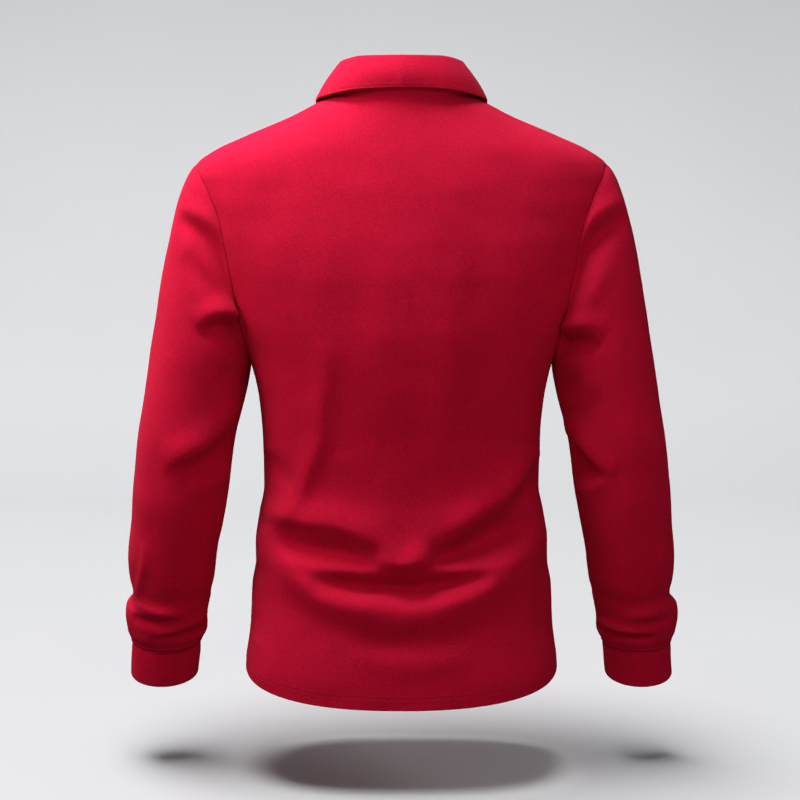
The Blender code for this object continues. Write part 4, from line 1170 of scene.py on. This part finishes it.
def studio(shirt):
    """Pale sweep, soft lights on the shirt's collection, camera at the photograph's angle."""
    nodes = Nodes("paper")
    tone = nodes.ramp(nodes.noise(*PAPER_GRAIN), (0.0, PAPER_TONES[0]), (1.0, PAPER_TONES[1]))
    finish = nodes.finish({"Base Color": tone, "Roughness": 0.9})
    profile = [(SWEEP_NEAR, FLOOR), (SWEEP_FAR, FLOOR)]
    for turn in np.linspace(0.0, math.pi / 2, SWEEP_STEPS + 1)[1:]:
        profile.append((SWEEP_FAR - SWEEP_BEND * math.sin(turn),
                        FLOOR + SWEEP_BEND * (1 - math.cos(turn))))
    profile.append((SWEEP_FAR - SWEEP_BEND, SWEEP_TOP))
    mesh = bpy.data.meshes.new("sweep")
    mesh.from_pydata([(x, y, z) for y, z in profile for x in (-SWEEP_HALF, SWEEP_HALF)], [],
                     [(k, k + 1, k + 3, k + 2) for k in range(0, 2 * len(profile) - 2, 2)])
    sweep = placed("sweep", mesh, finish)
    sweep.visible_diffuse = False
    paper = bpy.data.collections.new("paper")
    paper.objects.link(sweep)

    bpy.ops.mesh.primitive_uv_sphere_add(radius=SURROUND_RADIUS, location=(0.0, 0.0, FLOOR))
    surround = bpy.context.object
    surround.name = "surround"
    surround.data.materials.append(Nodes("surround").finish({
        "Base Color": BLACK, "Emission Color": SURROUND_TONE, "Emission Strength": 1.0}))
    surround.visible_diffuse = surround.visible_glossy = False
    surround.visible_transmission = surround.visible_shadow = False

    for name, place, size, energy, colour in SHIRT_LIGHTS:
        area(name, place, SHIRT_AIM, size, energy, colour, shirt)
    above = area("floor_light", FLOOR_LIGHT_PLACE, (0.0, 0.0, FLOOR), FLOOR_LIGHT_SIZE[1],
                 FLOOR_LIGHT_ENERGY, PLAIN, paper)
    above.data.shape = "ELLIPSE"
    above.data.size_y = FLOOR_LIGHT_SIZE[0]
    backdrop = area("backdrop", BACKDROP_PLACE, BACKDROP_AIM, BACKDROP_SIZE, BACKDROP_ENERGY,
                    BACKDROP_TONE, paper)
    backdrop.data.spread = BACKDROP_SPREAD
    backdrop.light_linking.blocker_collection = paper

    scene = bpy.context.scene
    scene.world = bpy.data.worlds.new("soft_room")
    scene.world.use_nodes = True
    background = scene.world.node_tree.nodes["Background"].inputs
    background["Color"].default_value = WORLD_TONE
    background["Strength"].default_value = WORLD_STRENGTH
    scene.view_settings.view_transform = "Standard"

    data = bpy.data.cameras.new("camera")
    data.lens = CAMERA_LENS
    data.sensor_width = CAMERA_SENSOR
    data.sensor_fit = "HORIZONTAL"
    scene.camera = aimed("camera", data, CAMERA_PLACE, CAMERA_AIM)


# ---- the shirt


def declare(made, node):
    """Hide the part that a piece stands in for, and let the piece ride on the root body."""
    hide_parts(node)
    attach(made, "root")


Face = namedtuple("Face", "grid normals")


class Piece:
    """A piece of cloth: the form it was cut to, its worn grid, and its rims at the seams."""

    def __init__(self, form, facing, folds=None, open_rows=(), ring=False, **wear):
        self.form, self.ring = form, ring
        self.grid = form if folds is None else worn(form, facing, folds, open_rows, ring, **wear)
        self.normals = point_normals(self.grid, facing, ring)
        self.pulls = np.full(form.shape[:2], CLOTH / 2 + SEAM / 2)

    def from_side(self, rows, column):
        """Ways into the piece from a stretch of its side, which is column 0 or -1."""
        return self.grid[rows, 1 if column == 0 else -2] - self.grid[rows, column]

    def meet(self, at, beyond):
        """Set the rim at a seam, where beyond points into the piece on its other side."""
        self.pulls[at] = pull_at_seam(self.normals[at], beyond)


def cut_pieces():
    """The pieces that lie on the body form and the arms, and the collar stand, by node."""
    back = Piece(panel(1), 1, BACK_FOLDS, ("first",))
    front = Piece(panel(-1), -1, FRONT_FOLDS, ("first",))
    pieces = {"back": back, "front": front}
    for word, side, folds in (("left", 1, LEFT_SLEEVE_FOLDS), ("right", -1, RIGHT_SLEEVE_FOLDS)):
        loop = armhole_loop(back.grid, front.grid, side)
        pieces["sleeve_" + word] = Piece(sleeve(loop, side), side, folds, ring=True,
                                         fade=SLEEVE_FADE, lip=LIP)
        pieces["cuff_" + word] = Piece(cuff(side, len(loop)), side, (), ("last",), ring=True)
    pieces["collar_stand"] = Piece(stand_grid(neck_loop(back.grid, front.grid)), -1)
    return pieces


def close_seams(pieces):
    """Let the rims of pieces that are sewn together just meet."""
    back, front, stand = pieces["back"], pieces["front"], pieces["collar_stand"]
    for column in (0, -1):
        for rows in (slice(0, LOW + 1), slice(TIP, TOP + 1)):
            back.meet((rows, column), front.from_side(rows, column))
            front.meet((rows, column), back.from_side(rows, column))
    for word, column in (("left", -1), ("right", 0)):
        arm, band = pieces["sleeve_" + word], pieces["cuff_" + word]
        into_arm = arm.grid[1] - arm.grid[0]
        arm.meet(0, np.concatenate([back.from_side(ARMHOLE, column)[::-1],
                                    front.from_side(ARMHOLE, column)[1:]]))
        back.meet((ARMHOLE, column), into_arm[:ARMHOLE_ROWS + 1][::-1])
        front.meet((ARMHOLE, column), into_arm[ARMHOLE_ROWS:])
        arm.meet(-1, band.grid[1] - band.grid[0])
        band.meet(0, arm.grid[-2] - arm.grid[-1])
    into_stand = stand.grid[1] - stand.grid[0]
    columns = np.arange(2 * CENTRE + 1)
    back.meet(-1, into_stand[3 * CENTRE - columns])
    front.meet(-1, into_stand[np.where(columns < CENTRE, 3 * CENTRE, -CENTRE) + columns])
    stand.pulls[0] = -STAND_TUCK


def make_cloth(node, slot, finishes, outer, normals, cut, **how):
    """The shell of a piece of cloth, in place of its node."""
    declare(shell(node + "_cloth", outer, normals, finishes[slot], **how), node)


def placket(front):
    """The placket's layer that shows and the one behind it."""
    layers = []
    for below, beyond, lift in ((0, 0, PLACKET_PROUD), (2, 1, -(CLOTH + UNDER_PLACKET_GAP))):
        half = PLACKET_HALF_COLUMNS + beyond
        at = (slice(PLACKET_ROW - below, -below or None), slice(CENTRE - half, CENTRE + half + 1))
        layers.append(Face(front.grid[at] + front.normals[at] * lift, front.normals[at]))
    return layers


def topstitching(back, front, leaf, over):
    """The lines of stitches at the hem, armholes, neck, collar edge and placket."""
    width = back.grid.shape[1]
    lines = []
    for distance in HEM_LINES:
        for piece in (back, front):
            lines.append(seam_line(piece, distance, range(1, width - 1), columns=True))
    for from_end in (False, True):
        for piece in (back, front):
            lines.append(seam_line(piece, ARMHOLE_STITCHES, range(LOW, TIP + 1), from_end))
    lines.append(seam_line(back, NECK_STITCHES, range(2, width - 2), True, columns=True))
    lines.append(seam_line(leaf, LEAF_STITCHES, range(LEAF_END, leaf.grid.shape[1] - LEAF_END),
                           True, columns=True))
    rows, columns = over.grid.shape[:2]
    for from_end in (False, True):
        lines.append(seam_line(over, PLACKET_STITCHES, range(rows), from_end))
    for distance in (PLACKET_STITCHES, PLACKET_BOX):
        lines.append(seam_line(over, distance, range(1, columns - 1), columns=True))
    return lines


def fasten(over, thread):
    """Buttons on the placket; returns their thread and the stitches and slits of their holes."""
    plastic = plastic_finish()
    spine, spine_normals = (values[:, PLACKET_HALF_COLUMNS] for values in over)
    across = np.array([1.0, 0.0, 0.0])
    reach = BUTTONHOLE_LENGTH / 2

    def on_placket(height):
        return (read_vectors(height, spine[:, 2], spine),
                unit(read_vectors(height, spine[:, 2], spine_normals)))

    threads, edges, slits = [], [], []
    for name in BUTTONS:
        low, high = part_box(name)
        height = (low[2] + high[2]) / 2
        place, way = on_placket(height)
        piece = button(name, place + way * SEAM, way, plastic)
        declare(piece, name)
        threads.extend(button_sewing(piece.matrix_world))
        for end in (-reach, reach):
            shown = [on_placket(height + share * end) for share in SLIT_SHARES]
            slits.append([point + out * BUTTONHOLE_SLIT * SLIT_PROUD for point, out in shown])
        for z in np.arange(height - reach, height + reach, BUTTONHOLE_PITCH):
            point, out = on_placket(z)
            for side in (-1.0, 1.0):
                ends = [point + across * side * from_slit
                        for from_slit in (BUTTONHOLE_SLIT, BUTTONHOLE_HALF)]
                edges.append((np.array(ends), np.array([out, out])))
    # The slits are coloured near-black: painted shade where each buttonhole's cut opens
    dark = Nodes("slit_shadow").finish({"Base Color": SLIT_SHADE_RED, "Specular IOR Level": 0.0})
    return [stitches("buttonholes", edges, thread, BUTTONHOLE_HALF - BUTTONHOLE_SLIT, 1.0),
            tubes("buttonhole_slits", [round_path(path, BUTTONHOLE_SLIT) for path in slits], dark),
            tubes("button_threads", [round_path(path, BUTTON_THREAD) for path in threads], thread)]


def main():
    shirt = bpy.data.collections.new("shirt")
    studio(shirt)
    finishes = {"knit": cloth_finish("knit_fine", RED, KNIT, ribbed=False),
                "rib": cloth_finish("rib_fine", RIB_RED, RIB, ribbed=True)}
    thread = thread_finish()

    pieces = cut_pieces()
    close_seams(pieces)
    half = PLACKET_HALF_COLUMNS
    opening = (slice(PLACKET_ROW, None), slice(CENTRE - half, CENTRE + half))
    for name, piece in pieces.items():
        slot = "rib" if name.startswith(("cuff", "collar")) else "knit"
        make_cloth(name, slot, finishes, piece.grid, piece.normals, piece.form, ring=piece.ring,
                   missing=opening if name == "front" else None, pulls=piece.pulls)
    shown, hidden = leaf_grids(pieces["collar_stand"].grid[-1])
    make_cloth("collar_leaf", "rib", finishes, shown, None, shown, inner=hidden)
    over, under = placket(pieces["front"])
    make_cloth("placket_over", "knit", finishes, *over, over.grid, cloth=CLOTH + PLACKET_PROUD)
    make_cloth("placket_under", "knit", finishes, *under, under.grid)

    leaf = Face(shown, unit(shown - hidden))
    lines = topstitching(pieces["back"], pieces["front"], leaf, over)
    for piece in (stitches("topstitching", lines, thread), *fasten(over, thread)):
        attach(piece, "root")
    for piece in bpy.context.scene.objects:
        if piece.type == "MESH" and piece.name not in ("sweep", "surround"):
            shirt.objects.link(piece)


main()
